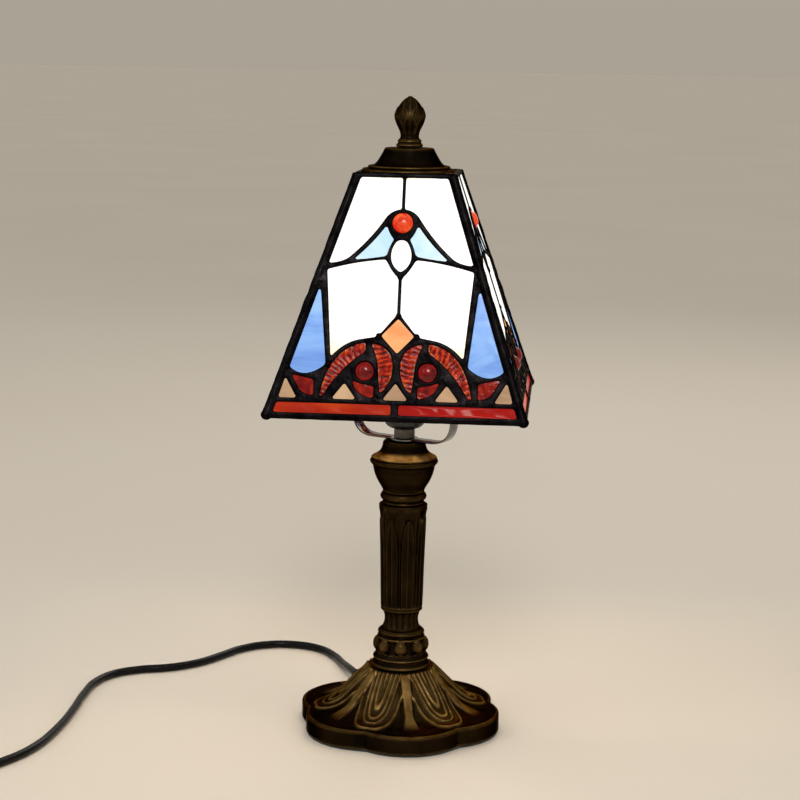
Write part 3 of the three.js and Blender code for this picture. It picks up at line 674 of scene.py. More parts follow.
def add_switch():
    place = Matrix.Translation((SWITCH_X, SWITCH_Y, 0))
    slot_loop = [(-8.5, -5), (8.5, -5), (8.5, 5), (-8.5, 5)]
    outline = rounded_bar(SWITCH_LENGTH, SWITCH_WIDTH)
    base = slab_piece("switch_tray", [outline], 0.2, 7, BLACK, "lamp", place)
    cover = slab_piece("switch_lid", [outline, slot_loop], 7.3, 15.2, BLACK, "lamp", place)
    rocker_line = [(-7.8, 5.1), (-7.8, -1.2), (-3.6, -2.6), (3.6, -2.6), (7.8, -1.2), (7.8, 5.1), (4, 4.5),
                   (0, 4.2), (-4, 4.5)]
    tilted = place @ Matrix.Translation((0, 0, ROCKER_PIVOT)) @ Matrix.Rotation(ROCKER_REST_TILT, 4, "Y")
    upright = tilted @ Matrix.Rotation(math.pi / 2, 4, "X")
    rocker = slab_piece("rocker_key", [rocker_line], -4.5, 4.5, BLACK, "rocker", upright)
    for piece, width in ((base, 1.4), (cover, 1.6), (rocker, 0.6)):
        add_bevel(piece, width)
    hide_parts("switch_base")
    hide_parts("switch_cover")
    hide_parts("switch_rocker")
    return [base, cover, rocker]


def add_plug():
    along = Matrix.Translation((PLUG_X, 0, PLUG_AXIS)) @ Matrix.Rotation(-math.pi / 2, 4, "X")
    length = PLUG_START - PLUG_BOOT
    # Ribs run round the boot, so that it bends.
    ribs = [(0, 0), (3.2, 0), (3.4, 0.6)]
    for i in range(6):
        start = 1.2 + i * (length - 2) / 6
        size = 3.2 + 1.3 * (i + 1) / 6
        ribs += [(size + 0.3, start + 0.5), (size + 0.3, start + 1.5)]
        ribs += [(size - 0.4, start + 1.8), (size - 0.4, start + 2.2)]
    ribs += [(4.6, length - 0.4), (0, length - 0.4)]
    points, faces, _ = turn(ribs, 32)
    mesh = mesh_from("plug_sleeve", points, faces)
    mesh.transform(along @ Matrix.Translation((0, 0, PLUG_BOOT)))
    boot = finish_mesh("plug_sleeve", mesh, BLACK, "lamp")
    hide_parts("plug_boot")
    half = [(6, PLUG_START), (8.6, PLUG_START + 4), (10, PLUG_START + 8), (10, PLUG_START + 20)]
    half.append((10.5, PLUG_FACE))
    outline = [(-6, PLUG_START), *half, *[(-x, y) for x, y in half[:0:-1]]]
    body = slab_piece("plug_shell", [outline], 0.2, 12.2, BLACK, "lamp",
                      Matrix.Translation((PLUG_X, 0, 0)))
    add_bevel(body, 2.2, 4, 50)
    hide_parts("plug_body")
    blades = []
    outline = [(-3.1, 0), (3.1, 0), (3.1, 15.6), (1.9, 17.5), (-1.9, 17.5), (-3.1, 15.6)]
    hole = circle(1.6, 16, (0, 11.7))
    on_edge = Matrix.Rotation(math.pi / 2, 4, "Y")
    for hand, offset in (("left", -BLADE_OFFSET), ("right", BLADE_OFFSET)):
        stand = Matrix.Translation((PLUG_X + offset, PLUG_FACE + 0.1, PLUG_AXIS)) @ on_edge
        blade = slab_piece(f"plug_pin_{hand}", [outline, hole], -0.75, 0.75, BRASS, "lamp", stand)
        add_bevel(blade, 0.2, 2)
        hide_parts(f"plug_blade_{hand}")
        blades.append(blade)
    return [boot, body, *blades]


def add_coil_tie():
    """A flat tie looped round the turns on the coil's far left."""
    angle = math.radians(205)
    middle = 30
    half_wide, tall, centre = 11.2, 4.75, 5
    loop = [(middle + half_wide * math.cos(a) * (1 - 0.12 * math.sin(a)), centre + tall * math.sin(a))
            for a in np.linspace(0, 2 * math.pi, 40, endpoint=False)]
    rings = []
    for radius, height in loop:
        out = Vector((radius - middle, (height - centre) * 2)).normalized()
        ring = []
        for across, thick in ((-2, 0), (2, 0), (2, 0.5), (-2, 0.5)):
            spot_radius, spot_height = radius + out.x * thick, height + out.y * thick * 0.6
            ring.append((
                COIL_CENTRE[0] + spot_radius * math.cos(angle) - across * math.sin(angle),
                COIL_CENTRE[1] + spot_radius * math.sin(angle) + across * math.cos(angle),
                max(spot_height, 0.05),
            ))
        rings.append(ring)
    mesh = mesh_from("coil_tie", *skin(rings, closed=True))
    return finish_mesh("coil_tie", mesh, BLACK, "lamp")


def add_boot():
    """The tapered strain relief, with slots moulded round it."""
    line = [(2.2, 53), (3.6, 53), (3.6, 54.6), (3.2, 54.8), (3.2, 62.3), (4.6, 62.5), (4.6, 64)]
    for i in range(7):
        start = 64.6 + i * 2.7
        size = between(4.3, 3.2, i / 6)
        line += [(size - 0.7, start), (size - 0.7, start + 0.7), (size, start + 0.9), (size, start + 2.4)]
    line += [(3, BOOT_END - 0.4), (2.8, BOOT_END), (2.2, BOOT_END)]
    points, faces, _ = turn(line, 32)
    mesh = mesh_from("strain_relief", points, faces)
    mesh.transform(
        Matrix.Translation((0, 0, EXIT_HEIGHT)) @ Matrix.Rotation(EXIT_ANGLE, 4, "Z")
        @ Matrix.Rotation(math.pi / 2, 4, "Y")
    )
    piece = finish_mesh("strain_relief", mesh, CORD, "lamp")
    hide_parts("cord_boot")
    return piece


cord, length = add_cord()
cord_pieces = [*add_switch(), *add_plug(), add_coil_tie(), add_boot()]


# ---------------------------------------------------------------- shade

SIDES = ("front", "right", "back", "left")
SHADE_BOTTOM, SHADE_TOP = 202, 336
SHADE_HALF_BOTTOM, SHADE_HALF_TOP = 72.5, 27.4
LEAN = math.atan((SHADE_HALF_BOTTOM - SHADE_HALF_TOP) / (SHADE_TOP - SHADE_BOTTOM))
SLOPE = (SHADE_TOP - SHADE_BOTTOM) / math.cos(LEAN)
GLASS_MARGIN = 3.2
GLASS_HALF_THICK = 1.1
SOLDER_HALF_THICK = 1.9
SEAM_RADIUS = 2.7
HEM_RADIUS = 1.8
SOLDER_VOXEL = 0.55
PANE_COVER = 0.5
RIM_WIDTH = 0.7


def half_width(up):
    """Half the width of a side at a distance up its slope."""
    return between(SHADE_HALF_BOTTOM, SHADE_HALF_TOP, up / SLOPE)


def corner_glass(up):
    return (half_width(up) - GLASS_MARGIN, up)


# Outlines of the glass, as (across from the centre line, up the slope). An entry of four numbers is a
# curve: its control point, then its end. Paired panes are mirrored about the centre line.
PAIRED_PANES = {
    "top": [(1, 120.7), (1, 139.2), corner_glass(139.2), corner_glass(88.8), (34, 89.2, 29.6, 92.3),
            (17.6, 103, 9.2, 116.4), (5.6, 120.6, 1, 120.7)],
    "wing": [(27, 91), (16.4, 100.4, 8.8, 111.6), (8, 107, 4.6, 103.2), (7.6, 98, 8.2, 93.6),
             (17, 91.8, 27, 91)],
    "middle": [(1, 59.6), (1, 81), (4.4, 83, 8.6, 91.4), (24, 90.2, 41.6, 85), (37.4, 34.8),
               (29.6, 44.2, 19.6, 45.5), (11.2, 47)],
    "blue": [(45.1, 76), (40.1, 30.4), (51.4, 20.6, 60.3, 28.4)],
    "arc": [(17.8, 43.3), (38.4, 40.4, 42.9, 11.6), (41.6, 11.6), (31.4, 29.6, 17.8, 38.3)],
    "leaf": [(14.9, 43), (2, 41.6, 2.2, 29.2), (2.4, 19.6, 8.8, 14.6), (9.4, 19, 10, 26.5),
             (10.6, 36, 14.9, 43)],
    "lens": [(12.3, 18.4), (17.8, 19, 24.8, 21.6), (22.4, 16.4), (18.4, 12.4, 12.6, 11.9)],
    "wedge": [(59, 24.2), (46.4, 21.4), (46.3, 12.3), (51, 12.6, 54.3, 16)],
    "corner": [(62.4, 22.6), (55.6, 10.8), corner_glass(10.8)],
    "triangle": [(28.8, 20), (22.1, 10.8), (35.8, 10.8)],
    "bar": [(2.2, 2.4), (2.2, 8.1), corner_glass(8.1), corner_glass(2.4)],
}
CENTRED_PANES = {
    "oval": [(0, 84.2), (5.4, 87.4, 5.7, 93), (5.9, 98.4, 2.2, 102.8), (-2.2, 102.8), (-5.9, 98.4, -5.7, 93),
             (-5.4, 87.4, 0, 84.2)],
    "diamond": [(0, 57.4), (9.3, 47.4), (0, 37.4), (-9.3, 47.4)],
    "centre": [(0, 20.4), (-7.2, 10.8), (7.2, 10.8)],
}
TOP_JEWEL = (0, 112.8, 5.9)
SIDE_JEWELS = [(-17.7, 26.9, 5.5), (17.7, 26.9, 5.5)]
CURVE_STEPS = 8


def pane_outline(entries, hand=1):
    points = [entries[0]]
    for entry in entries[1:]:
        points += quadratic(points[-1], entry[:2], entry[2:], CURVE_STEPS) if len(entry) == 4 else [entry]
    if math.dist(points[0], points[-1]) < 0.01:
        points.pop()
    return [(x * hand, y) for x, y in points]


PANES = {}
for pane, entries in PAIRED_PANES.items():
    PANES[f"{pane}_left"] = pane_outline(entries, -1)
    PANES[f"{pane}_right"] = pane_outline(entries)
for pane, entries in CENTRED_PANES.items():
    PANES[pane] = pane_outline(entries)


def is_clockwise(loop):
    return sum(a[0] * b[1] - b[0] * a[1] for a, b in pairs(loop)) < 0


def widened(loop, distance):
    """A closed outline moved outwards by a distance, corner by corner."""
    sign = -1 if is_clockwise(loop) else 1
    moved = []
    for before, here, after in triples(loop):
        a = (Vector(here) - Vector(before)).normalized()
        b = (Vector(after) - Vector(here)).normalized()
        outwards = Vector((a.y + b.y, -a.x - b.x)).normalized()
        stretch = 1 / max(outwards.dot(Vector((a.y, -a.x))), 0.4)
        moved.append(tuple(Vector(here) + outwards * distance * sign * stretch))
    return moved


def corners(loop, least=math.radians(28)):
    """The points where an outline turns sharply."""
    found = []
    for before, here, after in triples(loop):
        a, b = Vector(here) - Vector(before), Vector(after) - Vector(here)
        if a.angle(b) > least:
            found.append(here)
    return found


def side_place(index):
    """From a side's own frame, x across, y up the slope and z outwards, to the lamp's."""
    return (
        Matrix.Rotation(index * math.pi / 2, 4, "Z")
        @ Matrix.Translation((0, -SHADE_HALF_BOTTOM, SHADE_BOTTOM))
        @ Matrix.Rotation(math.pi / 2 - LEAN, 4, "X")
    )


def lumpy_tube(path, radius, sides=12, wobble=0.12):
    """A closed bead of solder along a path, with a radius that wanders."""
    rings = []
    for i, place in enumerate(path):
        here = Vector(place)
        along = (Vector(path[min(i + 1, len(path) - 1)]) - Vector(path[max(i - 1, 0)])).normalized()
        side = along.cross(Vector((0, 0, 1))).normalized()
        up = side.cross(along)
        size = radius * (1 + wobble * noise.noise(here * 0.16) + wobble * 0.6 * noise.noise(here * 0.45))
        rings.append([
            tuple(here + (side * math.cos(a) + up * math.sin(a)) * size)
            for a in (2 * math.pi * j / sides for j in range(sides))
        ])
    return skin(rings)


def ball(centre, radius, squash=1.0, sides=12):
    line = [(0, -radius)] + [
        (radius * math.cos(a), radius * math.sin(a)) for a in np.linspace(-math.pi / 2.4, math.pi / 2.4, 7)
    ] + [(0, radius)]
    points, faces, _ = turn(line, sides)
    return [(x + centre[0], y + centre[1], z * squash + centre[2]) for x, y, z in points], faces


def straight(start, end, steps):
    start, end = np.array(start, float), np.array(end, float)
    return [tuple(between(start, end, i / steps)) for i in range(steps + 1)]


def solder_mesh():
    """One side's web of solder: a plate round the panes, beads along its seam, hem and jewels, and
    pools where lines meet. They are made one lumpy body by remeshing."""
    low, high = half_width(0), half_width(SLOPE)
    plate = [(-low + 1.8, 0), (low - 2.4, 0), (high - 2.4, SLOPE), (-high + 1.8, SLOPE)]
    jewel_loops = [circle(radius, 28, (x, y)) for x, y, radius in (TOP_JEWEL, *SIDE_JEWELS)]
    parts = [slab([plate, *PANES.values(), *jewel_loops], -SOLDER_HALF_THICK, SOLDER_HALF_THICK)]
    parts.append(lumpy_tube(straight((-low, 0, 0), (-high, SLOPE, 0), 60), SEAM_RADIUS))
    parts.append(lumpy_tube(straight((-low, 0.4, 0), (low, 0.4, 0), 60), HEM_RADIUS))
    parts.append(lumpy_tube(straight((-high, SLOPE - 0.6, 0), (high, SLOPE - 0.6, 0), 24), HEM_RADIUS))
    for x, y, radius in (TOP_JEWEL, *SIDE_JEWELS):
        ring = [(x + (radius + 0.9) * math.cos(a), y + (radius + 0.9) * math.sin(a), 1.2)
                for a in np.linspace(0, 2 * math.pi, 33)]
        parts.append(lumpy_tube(ring, 1.2, 8))
    pools = {}
    for loop in PANES.values():
        outer = dict(zip(loop, widened(loop, 1.0)))
        for corner in corners(loop):
            x, y = outer[corner]
            pools[(round(x / 1.5), round(y / 1.5))] = (x, y)
    for x, y in pools.values():
        parts.append(ball((x, y, 0), 1.9 + 0.3 * noise.noise(Vector((x, y, 0)) * 0.3), 1.28, 10))
    for end in (-low, low):
        parts.append(ball((end, 0.6, 0), 2.95, 1.1))
    mesh = mesh_from("solder", *join_parts(parts))
    body = bpy.data.objects.new("solder", mesh)
    scene.collection.objects.link(body)
    remesh = body.modifiers.new("merge", "REMESH")
    remesh.mode = "VOXEL"
    remesh.voxel_size = SOLDER_VOXEL
    smooth = body.modifiers.new("soften", "SMOOTH")
    smooth.factor = 0.6
    smooth.iterations = 3
    decimate = body.modifiers.new("thin", "DECIMATE")
    decimate.ratio = 0.3
    made = bpy.data.meshes.new_from_object(body.evaluated_get(bpy.context.evaluated_depsgraph_get()))
    bpy.data.objects.remove(body)
    return made


def pane_prism(loop, seed=0, spacing=3.2, band=None):
    """A pane of rolled glass. Its faces have points inside them, so that they ripple slightly. band
    gives the phase of the pane's ripples at a point, where it has any."""
    edge = widened(loop, PANE_COVER)
    xs, ys = [x for x, _ in edge], [y for _, y in edge]
    inner = [
        (x, y) for x in np.arange(min(xs) + spacing / 2, max(xs), spacing)
        for y in np.arange(min(ys) + spacing / 2, max(ys), spacing)
        if inside((x, y), edge) and distance_to((x, y), edge) > spacing * 0.4
    ]

    def surface(point, side):
        wave = 0.16 * noise.noise(Vector((point.x * 0.16, point.y * 0.16, seed + side)))
        if band:
            wave += 0.2 * math.sin(band(point) + 5 * noise.noise(point.to_3d() * 0.13))
        return side * (GLASS_HALF_THICK + wave)

    return slab([edge], lambda p: surface(p, -1), lambda p: surface(p, 1), inner)


BAND_LENGTH = 2.9
ARC_CENTRE = Vector((14, 8))


def arc_band(point):
    """Ripples that run across an arc, like the spokes of a wheel."""
    out = Vector((abs(point.x), point.y)) - ARC_CENTRE
    return math.atan2(out.y, out.x) * 30 * 2 * math.pi / BAND_LENGTH


def leaf_band(point):
    return (point.y + 0.25 * abs(point.x)) * 2 * math.pi / BAND_LENGTH


def store_bands(mesh, loops):
    """Keeps the phase of the ripples, and how near each point is to its pane's edge, for the glass to
    read."""
    band = mesh.attributes.new("band", "FLOAT", "POINT")
    rim = mesh.attributes.new("rim", "FLOAT", "POINT")
    start = 0
    for loop, phase, count in loops:
        for vertex in mesh.vertices[start:start + count]:
            spot = vertex.co.to_2d()
            band.data[vertex.index].value = phase(spot)
            depth = distance_to(spot, loop) * (1 if inside(spot, loop) else -1)
            rim.data[vertex.index].value = 1 - min(max(depth / RIM_WIDTH, 0), 1)
        start += count


def jewel(x, y, radius):
    """A pressed glass jewel: a domed face, stepped by a ring near its edge, and a flat back."""
    line = [(0, -1.2), (radius - 0.6, -1.2), (radius + 0.2, -0.4), (radius + 0.2, 1), (radius - 0.5, 2.1),
            (radius - 1.3, 2.5)]
    dome = smooth_through([(radius - 1.3, 2.5), (radius * 0.5, 3.9), (radius * 0.2, 4.3), (0, 4.35)], 4)
    points, faces, _ = turn([*line, *dome[1:]], 32)
    return [(px + x, py + y, pz) for px, py, pz in points], faces


def glow_look(name, tones, **settings):
    return glass_look(name, [rgb(*tone) for tone in tones], **settings)


def white_glass_look():
    """White opal glass, warmer low down where the bulb's light is weaker, and darker and warmer close under
    the cap, as the cap's painted shadow.
    """
    look = Look("white_opal_glass", Roughness=0.18, Specular_IOR_Level=0.5, Emission_Strength=1.02)
    streak = look.noise(20, 4, look.stretched((1, 1, 0.4), (0.4, 0.2, 0.3)), 1.0)
    white = look.ramp(streak, (0.3, (1, 0.985, 0.95, 1)), (0.6, (1.04, 1.03, 1.0, 1)))
    low = look.ramp(
        look.node("MapRange", {
            "Value": look.distance_from(Vector((0, 0, 275)) * MM), "From Min": 0.070, "From Max": 0.092,
        }).outputs[0], (0, (1, 1, 1, 1)), (0.45, rgb(255, 240, 208)), (1, rgb(252, 206, 146)),
    )
    # Painted shadow of the cap: the glass close under it is darker and warmer.
    cap = look.ramp(
        look.node("MapRange", {
            "Value": look.distance_from(Vector((0, 0, 345)) * MM), "From Min": 0.0295, "From Max": 0.0345,
        }).outputs[0], (0, rgb(236, 208, 150)), (1, (1, 1, 1, 1)),
    )
    tint = look.node("VectorMath", {0: low, 1: cap}, operation="MULTIPLY").outputs[0]
    lit = look.node("VectorMath", {0: white, 1: tint}, operation="MULTIPLY").outputs[0]
    look.set("Emission Color", lit)
    look.set("Base Color", look.ramp(streak, (0.3, rgb(110, 104, 92)), (0.6, rgb(132, 126, 114))))
    look.bump(look.noise(70, 2), 0.3, 0.0006)
    return look.material


def jewel_look(name, heart, rim, glow):
    """Pressed glass lit from behind, its glow mottled between a rim tone and a heart tone."""
    look = Look(name, Roughness=0.12, Specular_IOR_Level=0.3, Emission_Strength=glow)
    look.set("Emission Color", look.ramp(look.noise(190, 3, distortion=0.8), (0.35, rim), (0.62, heart)))
    clouds = look.noise(120, 2)
    look.set("Base Color", look.ramp(clouds, (0.3, (0.02, 0.001, 0.001, 1)), (0.7, (0.06, 0.003, 0.002, 1))))
    look.bump(look.noise(300, 2), 0.3, 0.0004)
    return look.material


GLASS = {
    "white": white_glass_look(),
    "ice": glow_look("ice_blue_glass", [(186, 224, 246), (214, 240, 250), (238, 251, 254)],
                     glow=0.95, low=0.93),
    "blue": glow_look("blue_streaky_glass", [(104, 146, 226), (142, 186, 250), (160, 202, 254)],
                      glow=0.95, low=0.78),
    "peach": glow_look("peach_glass", [(248, 156, 96), (252, 184, 120), (254, 206, 140)],
                       glow=0.95, low=0.8),
    "amber": glow_look("rippled_amber_glass", [(66, 3, 2), (122, 12, 4), (160, 28, 8), (200, 64, 18)],
                       glow=0.92, low=0.86, pattern="bands", rough=0.12),
    "garnet": glow_look("garnet_glass", [(76, 4, 4), (124, 14, 8), (170, 40, 18)], glow=0.95, low=0.9,
                        pattern="mottled", rough=0.1),
    "cream": glow_look("cream_glass", [(172, 136, 104), (200, 160, 122), (220, 184, 142)],
                       glow=0.9, low=0.86),
    "orange": glow_look("orange_glass", [(156, 22, 4), (176, 40, 8), (196, 62, 14)], glow=0.95, low=0.9),
    "ruby": glow_look("ruby_glass", [(136, 4, 2), (160, 9, 3), (176, 20, 5)], glow=0.95, low=0.9),
    "jewel": jewel_look("red_jewel", rgb(134, 4, 4), rgb(56, 0, 2), 0.85),
    "lit_jewel": jewel_look("orange_jewel", rgb(250, 96, 40), rgb(214, 30, 4), 0.95),
}
KINDS = {
    "white": ("top_left", "top_right", "middle_left", "middle_right", "oval"),
    "ice": ("wing_left", "wing_right"),
    "blue": ("blue_left", "blue_right"),
    "peach": ("diamond",),
    "amber": ("arc_left", "arc_right", "leaf_left", "leaf_right"),
    "garnet": ("lens_left", "lens_right", "wedge_left", "wedge_right"),
    "cream": ("corner_left", "triangle_left", "centre", "triangle_right", "corner_right"),
    "orange": ("bar_left",),
    "ruby": ("bar_right",),
}
LARGE_PANES = ("top_left", "top_right", "middle_left", "middle_right")


def add_panes(kind, names, side, index):
    """All of one side's panes of one kind of glass."""
    if kind == "amber":
        bands = {name: arc_band if name.startswith("arc") else leaf_band for name in names}
        shapes = [pane_prism(PANES[name], 7 * index, 0.9, bands[name]) for name in names]
    else:
        shapes = [pane_prism(PANES[name], 7 * index) for name in names]
    mesh = mesh_from(f"{kind}_panes_{side}", *join_parts(shapes))
    if kind == "amber":
        store_bands(mesh, [(PANES[name], bands[name], len(shape[0])) for name, shape in zip(names, shapes)])
    mesh.transform(side_place(index))
    piece = finish_mesh(f"{kind}_panes_{side}", mesh, GLASS[kind], "shade", sharp=50)
    if kind == "white":
        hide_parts(*[f"glass_{side}_{name}" for name in LARGE_PANES])


def add_shade():
    web = solder_mesh()
    for index, side in enumerate(SIDES):
        place = side_place(index)
        mesh = web.copy()
        mesh.transform(place)
        piece = finish_mesh(f"solder_{side}", mesh, SOLDER, "shade", sharp=180)
        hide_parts(f"lead_{side}")
        for kind, names in KINDS.items():
            add_panes(kind, names, side, index)
        for kind, spots in (("lit_jewel", [TOP_JEWEL]), ("jewel", SIDE_JEWELS)):
            mesh = mesh_from(f"{kind}s_{side}", *join_parts([jewel(*spot) for spot in spots]))
            mesh.transform(place)
            finish_mesh(f"{kind}s_{side}", mesh, GLASS[kind], "shade", sharp=50)


add_shade()


# ---------------------------------------------------------------- foot

FOOT_BOTTOM, FOOT_TOP, SLAB_HEIGHT = 1.5, 38, 12
LOBES, LOBES_BEGIN, LOBE_REACH, LOBE_ARC = 6, 40, 62, 35.8
# Directions of the front lobe and of the notch beside it.
LOBE_FIRST = math.radians(13 - 90)
NOTCH_FIRST = LOBE_FIRST + math.pi / LOBES
FOOT_SEGMENTS = 432
ROD_HOLE = 5.2


def lobe_share(angle):
    """How far the foot's edge reaches at an angle, as a share of its longest reach."""
    off = off_nearest(angle, LOBES, LOBE_FIRST)
    centre = LOBE_REACH - LOBE_ARC
    return (centre * np.cos(off) + np.sqrt(LOBE_ARC ** 2 - (centre * np.sin(off)) ** 2)) / LOBE_REACH


def leaf_depth(across, along, half, power):
    """How far inside a tongue-shaped leaf's edge a point is. along runs from 0 at its root to 1 at
    its tip."""
    level = (np.abs(across) / half) ** power + np.clip(along, 0, 2) ** 4
    return (1 - np.minimum(level, 3) ** (1 / power)) * half


def foot_relief(radius, angle, height):
    """Petals with nested veins that lie on the notches, a broad leaf behind each, and ribs on the
    lobes."""
    across = off_nearest(angle, LOBES, NOTCH_FIRST) * radius
    rib_across = np.abs(off_nearest(angle, LOBES, LOBE_FIRST) * radius)
    petal_depth = leaf_depth(across, (radius - 17) / 33.5, 8.8, 2.0)
    leaf = leaf_depth(across, (radius - 17) / 40.5, 13.4, 2.4)
    rib_half = 2.6 + 2.0 * smoothstep(radius, 38, 52)
    rib = smoothstep(rib_half + 0.5 - rib_across, 0, 1)
    rib *= smoothstep(radius, 18.6, 20) * smoothstep(-radius, -53, -43)
    on_leaf = smoothstep(leaf, 0, 1.1) * (1 - rib)
    on_petal = smoothstep(petal_depth, 0, 1.0)
    veins = (0.5 + 0.5 * np.cos(2 * math.pi * (petal_depth - 0.9) / 2.6)) ** 2 * on_petal
    leaf_edge = ridge(leaf - 1.1, 0.75) * (1 - on_petal) * (1 - rib)
    grooves = ridge(rib_across - rib_half - 1.2, 0.8) * (1 - rib)
    grooves *= smoothstep(radius, 19, 22) * smoothstep(-radius, -50, -38)
    raised = 0.7 * on_leaf + 0.5 * leaf_edge + 0.6 * on_petal + 0.62 * veins + 1.1 * rib - 0.7 * grooves
    rim = ridge(radius - 60.5, 0.6)
    raised += 0.35 * rim
    top = smoothstep(height, SLAB_HEIGHT - 0.6, SLAB_HEIGHT)
    fade = smoothstep(radius, 18.2, 19.6)
    upper = smoothstep(-radius, -40, -26)
    # Veins, leaf edges, ribs and rim are painted bright, by abrasion and as painted highlight; higher up the
    # dome the ribs and petals are painted brighter still, as painted highlight.
    worn_and_highlit = np.maximum.reduce([
        veins ** 2 * 0.9, leaf_edge ** 2 * 0.7, rib * (0.42 + 0.3 * upper), rim ** 2 * 0.3,
        0.08 * on_leaf, 0.22 * upper * on_petal,
    ])
    return raised * top * fade, worn_and_highlit * top * fade


def add_foot():
    outer = profile(
        [(56, FOOT_BOTTOM), (61.4, FOOT_BOTTOM)], [(62, 2.1)], [(62, 6), (62, 11.1)],
        [(61.8, 11.75), (61.1, SLAB_HEIGHT)],
        [(57, 12.3), (53, 12.9), (47, 13.9), (42, 15.6), (37, 18.8), (31, 24.8), (25, 31),
         (20, 35.9), (18.4, 37.4)],
        [(16, FOOT_TOP)], [(ROD_HOLE, FOOT_TOP)],
    )
    outer = resampled(outer, 0.55)
    inner = [(ROD_HOLE, 31.4), (14, 31.4), (23, 28.6), (31, 21), (37, 14), (44, 10.4), (56, 10.2)]

    def relief(radius, angle, height):
        raised, worn_and_highlit = foot_relief(radius, angle, height)
        raised[len(outer):] = 0
        worn_and_highlit[len(outer):] = 0
        return raised, worn_and_highlit

    points, faces, wear_and_highlight = turn([*outer, *inner], FOOT_SEGMENTS, relief, edge=0.3)
    points = np.array(points)
    radius = np.hypot(points[:, 0], points[:, 1])
    angle = np.arctan2(points[:, 1], points[:, 0])
    lobed = smoothstep(radius, LOBES_BEGIN, LOBE_REACH)
    points[:, :2] *= (1 + (lobe_share(angle) - 1) * lobed)[:, None]
    mesh = mesh_from("foot_casting", points, faces)
    store_wear_and_highlight(mesh, wear_and_highlight * 0.8)
    piece = finish_mesh("foot_casting", mesh, BRONZE, "lamp", sharp=50)
    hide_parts("base_foot")


# ---------------------------------------------------------------- column

KNUCKLE_TOP, PEDESTAL_TOP, COLUMN_TOP, BEAD_TOP, CUP_TOP, LID_TOP = 57.3, 74.2, 138.5, 146.7, 165.8, 176.8
GAP = 0.3
BOSSES = 8
BOSS_FIRST = math.radians(4 - 90)
BOSS_MIDDLE = 51
COLUMN_LEAVES = 8


def resampled(line, spacing):
    """The same line with a point at least every so often."""
    points = [line[0]]
    for start, end in zip(line, line[1:]):
        steps = max(1, math.ceil(math.dist(start, end) / spacing))
        points += straight(start, end, steps)[1:]
    return points


def boss_relief(radius, angle, height):
    """A row of egg-shaped bosses."""
    across = off_nearest(angle, BOSSES, BOSS_FIRST) * radius
    spot = (across / 4.3) ** 2 + ((height - BOSS_MIDDLE) / 4.8) ** 2
    boss = np.sqrt(np.clip(1 - spot, 0, 1)) * (radius > ROD_HOLE + 1)
    hollow = ridge(np.sqrt(spot) - 1.12, 0.14) * (radius > ROD_HOLE + 1)
    # The bosses' crowns are painted bright, by abrasion and as painted highlight.
    return 2.9 * boss - 0.35 * hollow, 0.6 * boss ** 2


def neck_relief(radius, angle, height):
    """Upright reeds round the pedestal's neck."""
    reeds = (0.5 + 0.5 * np.cos(16 * angle)) * smoothstep(height, 61.4, 63) * smoothstep(-height, -72, -70.4)
    outside = radius > ROD_HOLE + 1
    # The reeds are painted bright, by abrasion and as painted highlight.
    return 0.55 * (reeds - 0.5) * outside * (reeds > 0), 0.25 * reeds * outside


def lid_flare_highlight(radius, angle, height):
    """The lid is plain, with a painted highlight all round its flare."""
    return np.zeros_like(radius), 0.9 * smoothstep(radius, 14, 16.5) * smoothstep(height, 166.4, 167.4)


def column_leaf(angle, radius, height, first, tip, half):
    """How far inside the edge of the nearest long pointed leaf a point is, and how far from its
    middle line."""
    across = np.abs(off_nearest(angle, COLUMN_LEAVES, first) * radius)
    rise = np.clip((height - 74) / (tip - 74), 0, 1.05)
    width = half * np.sqrt(np.clip(1 - rise ** 5, 0, 1)) * (0.86 + 0.14 * rise)
    return width - across, across


def column_relief(radius, angle, height):
    """Two ranks of long leaves with raised edges and midribs. The rear rank shows between the tips in
    front."""
    pitch = 2 * math.pi / COLUMN_LEAVES
    front, front_middle = column_leaf(angle, radius, height, BOSS_FIRST + 0.35 * pitch, 130.5, 5.0)
    rear, rear_middle = column_leaf(angle, radius, height, BOSS_FIRST + 0.85 * pitch, 137.2, 5.2)

    def leaf(depth, middle, edge):
        lines = np.maximum(ridge(depth - 0.75, 0.5), 0.9 * ridge(middle, 0.55))
        return smoothstep(depth, -0.2, 0.6) * (edge + 0.65 * lines), lines * smoothstep(depth, -0.2, 0.6)

    front_raise, front_lines = leaf(front, front_middle, 0.85)
    rear_raise, rear_lines = leaf(rear, rear_middle, 0.25)
    raised = np.where(front > 0, front_raise, rear_raise) - 1.4
    lines = np.where(front > 0, front_lines, rear_lines * 0.8)
    ends = smoothstep(height, 75.2, 77) * smoothstep(-height, -137.8, -136.6) * (radius > ROD_HOLE + 1)
    # The leaves' raised lines are painted bright, by abrasion and as painted highlight.
    return raised * ends, 0.3 * lines * ends


def column_turned(name, replaced, outside, low, high, relief=None, segments=96, wear_and_highlight_share=0.2, edge=1.0):
    """A piece of the column, threaded on the rod, from the profile of its outside."""
    line = resampled([(ROD_HOLE, low), *outside, (ROD_HOLE, high)], 0.6)
    turned_piece(name, line, BRONZE, "lamp", [replaced], segments, relief, wear_and_highlight_share, edge)


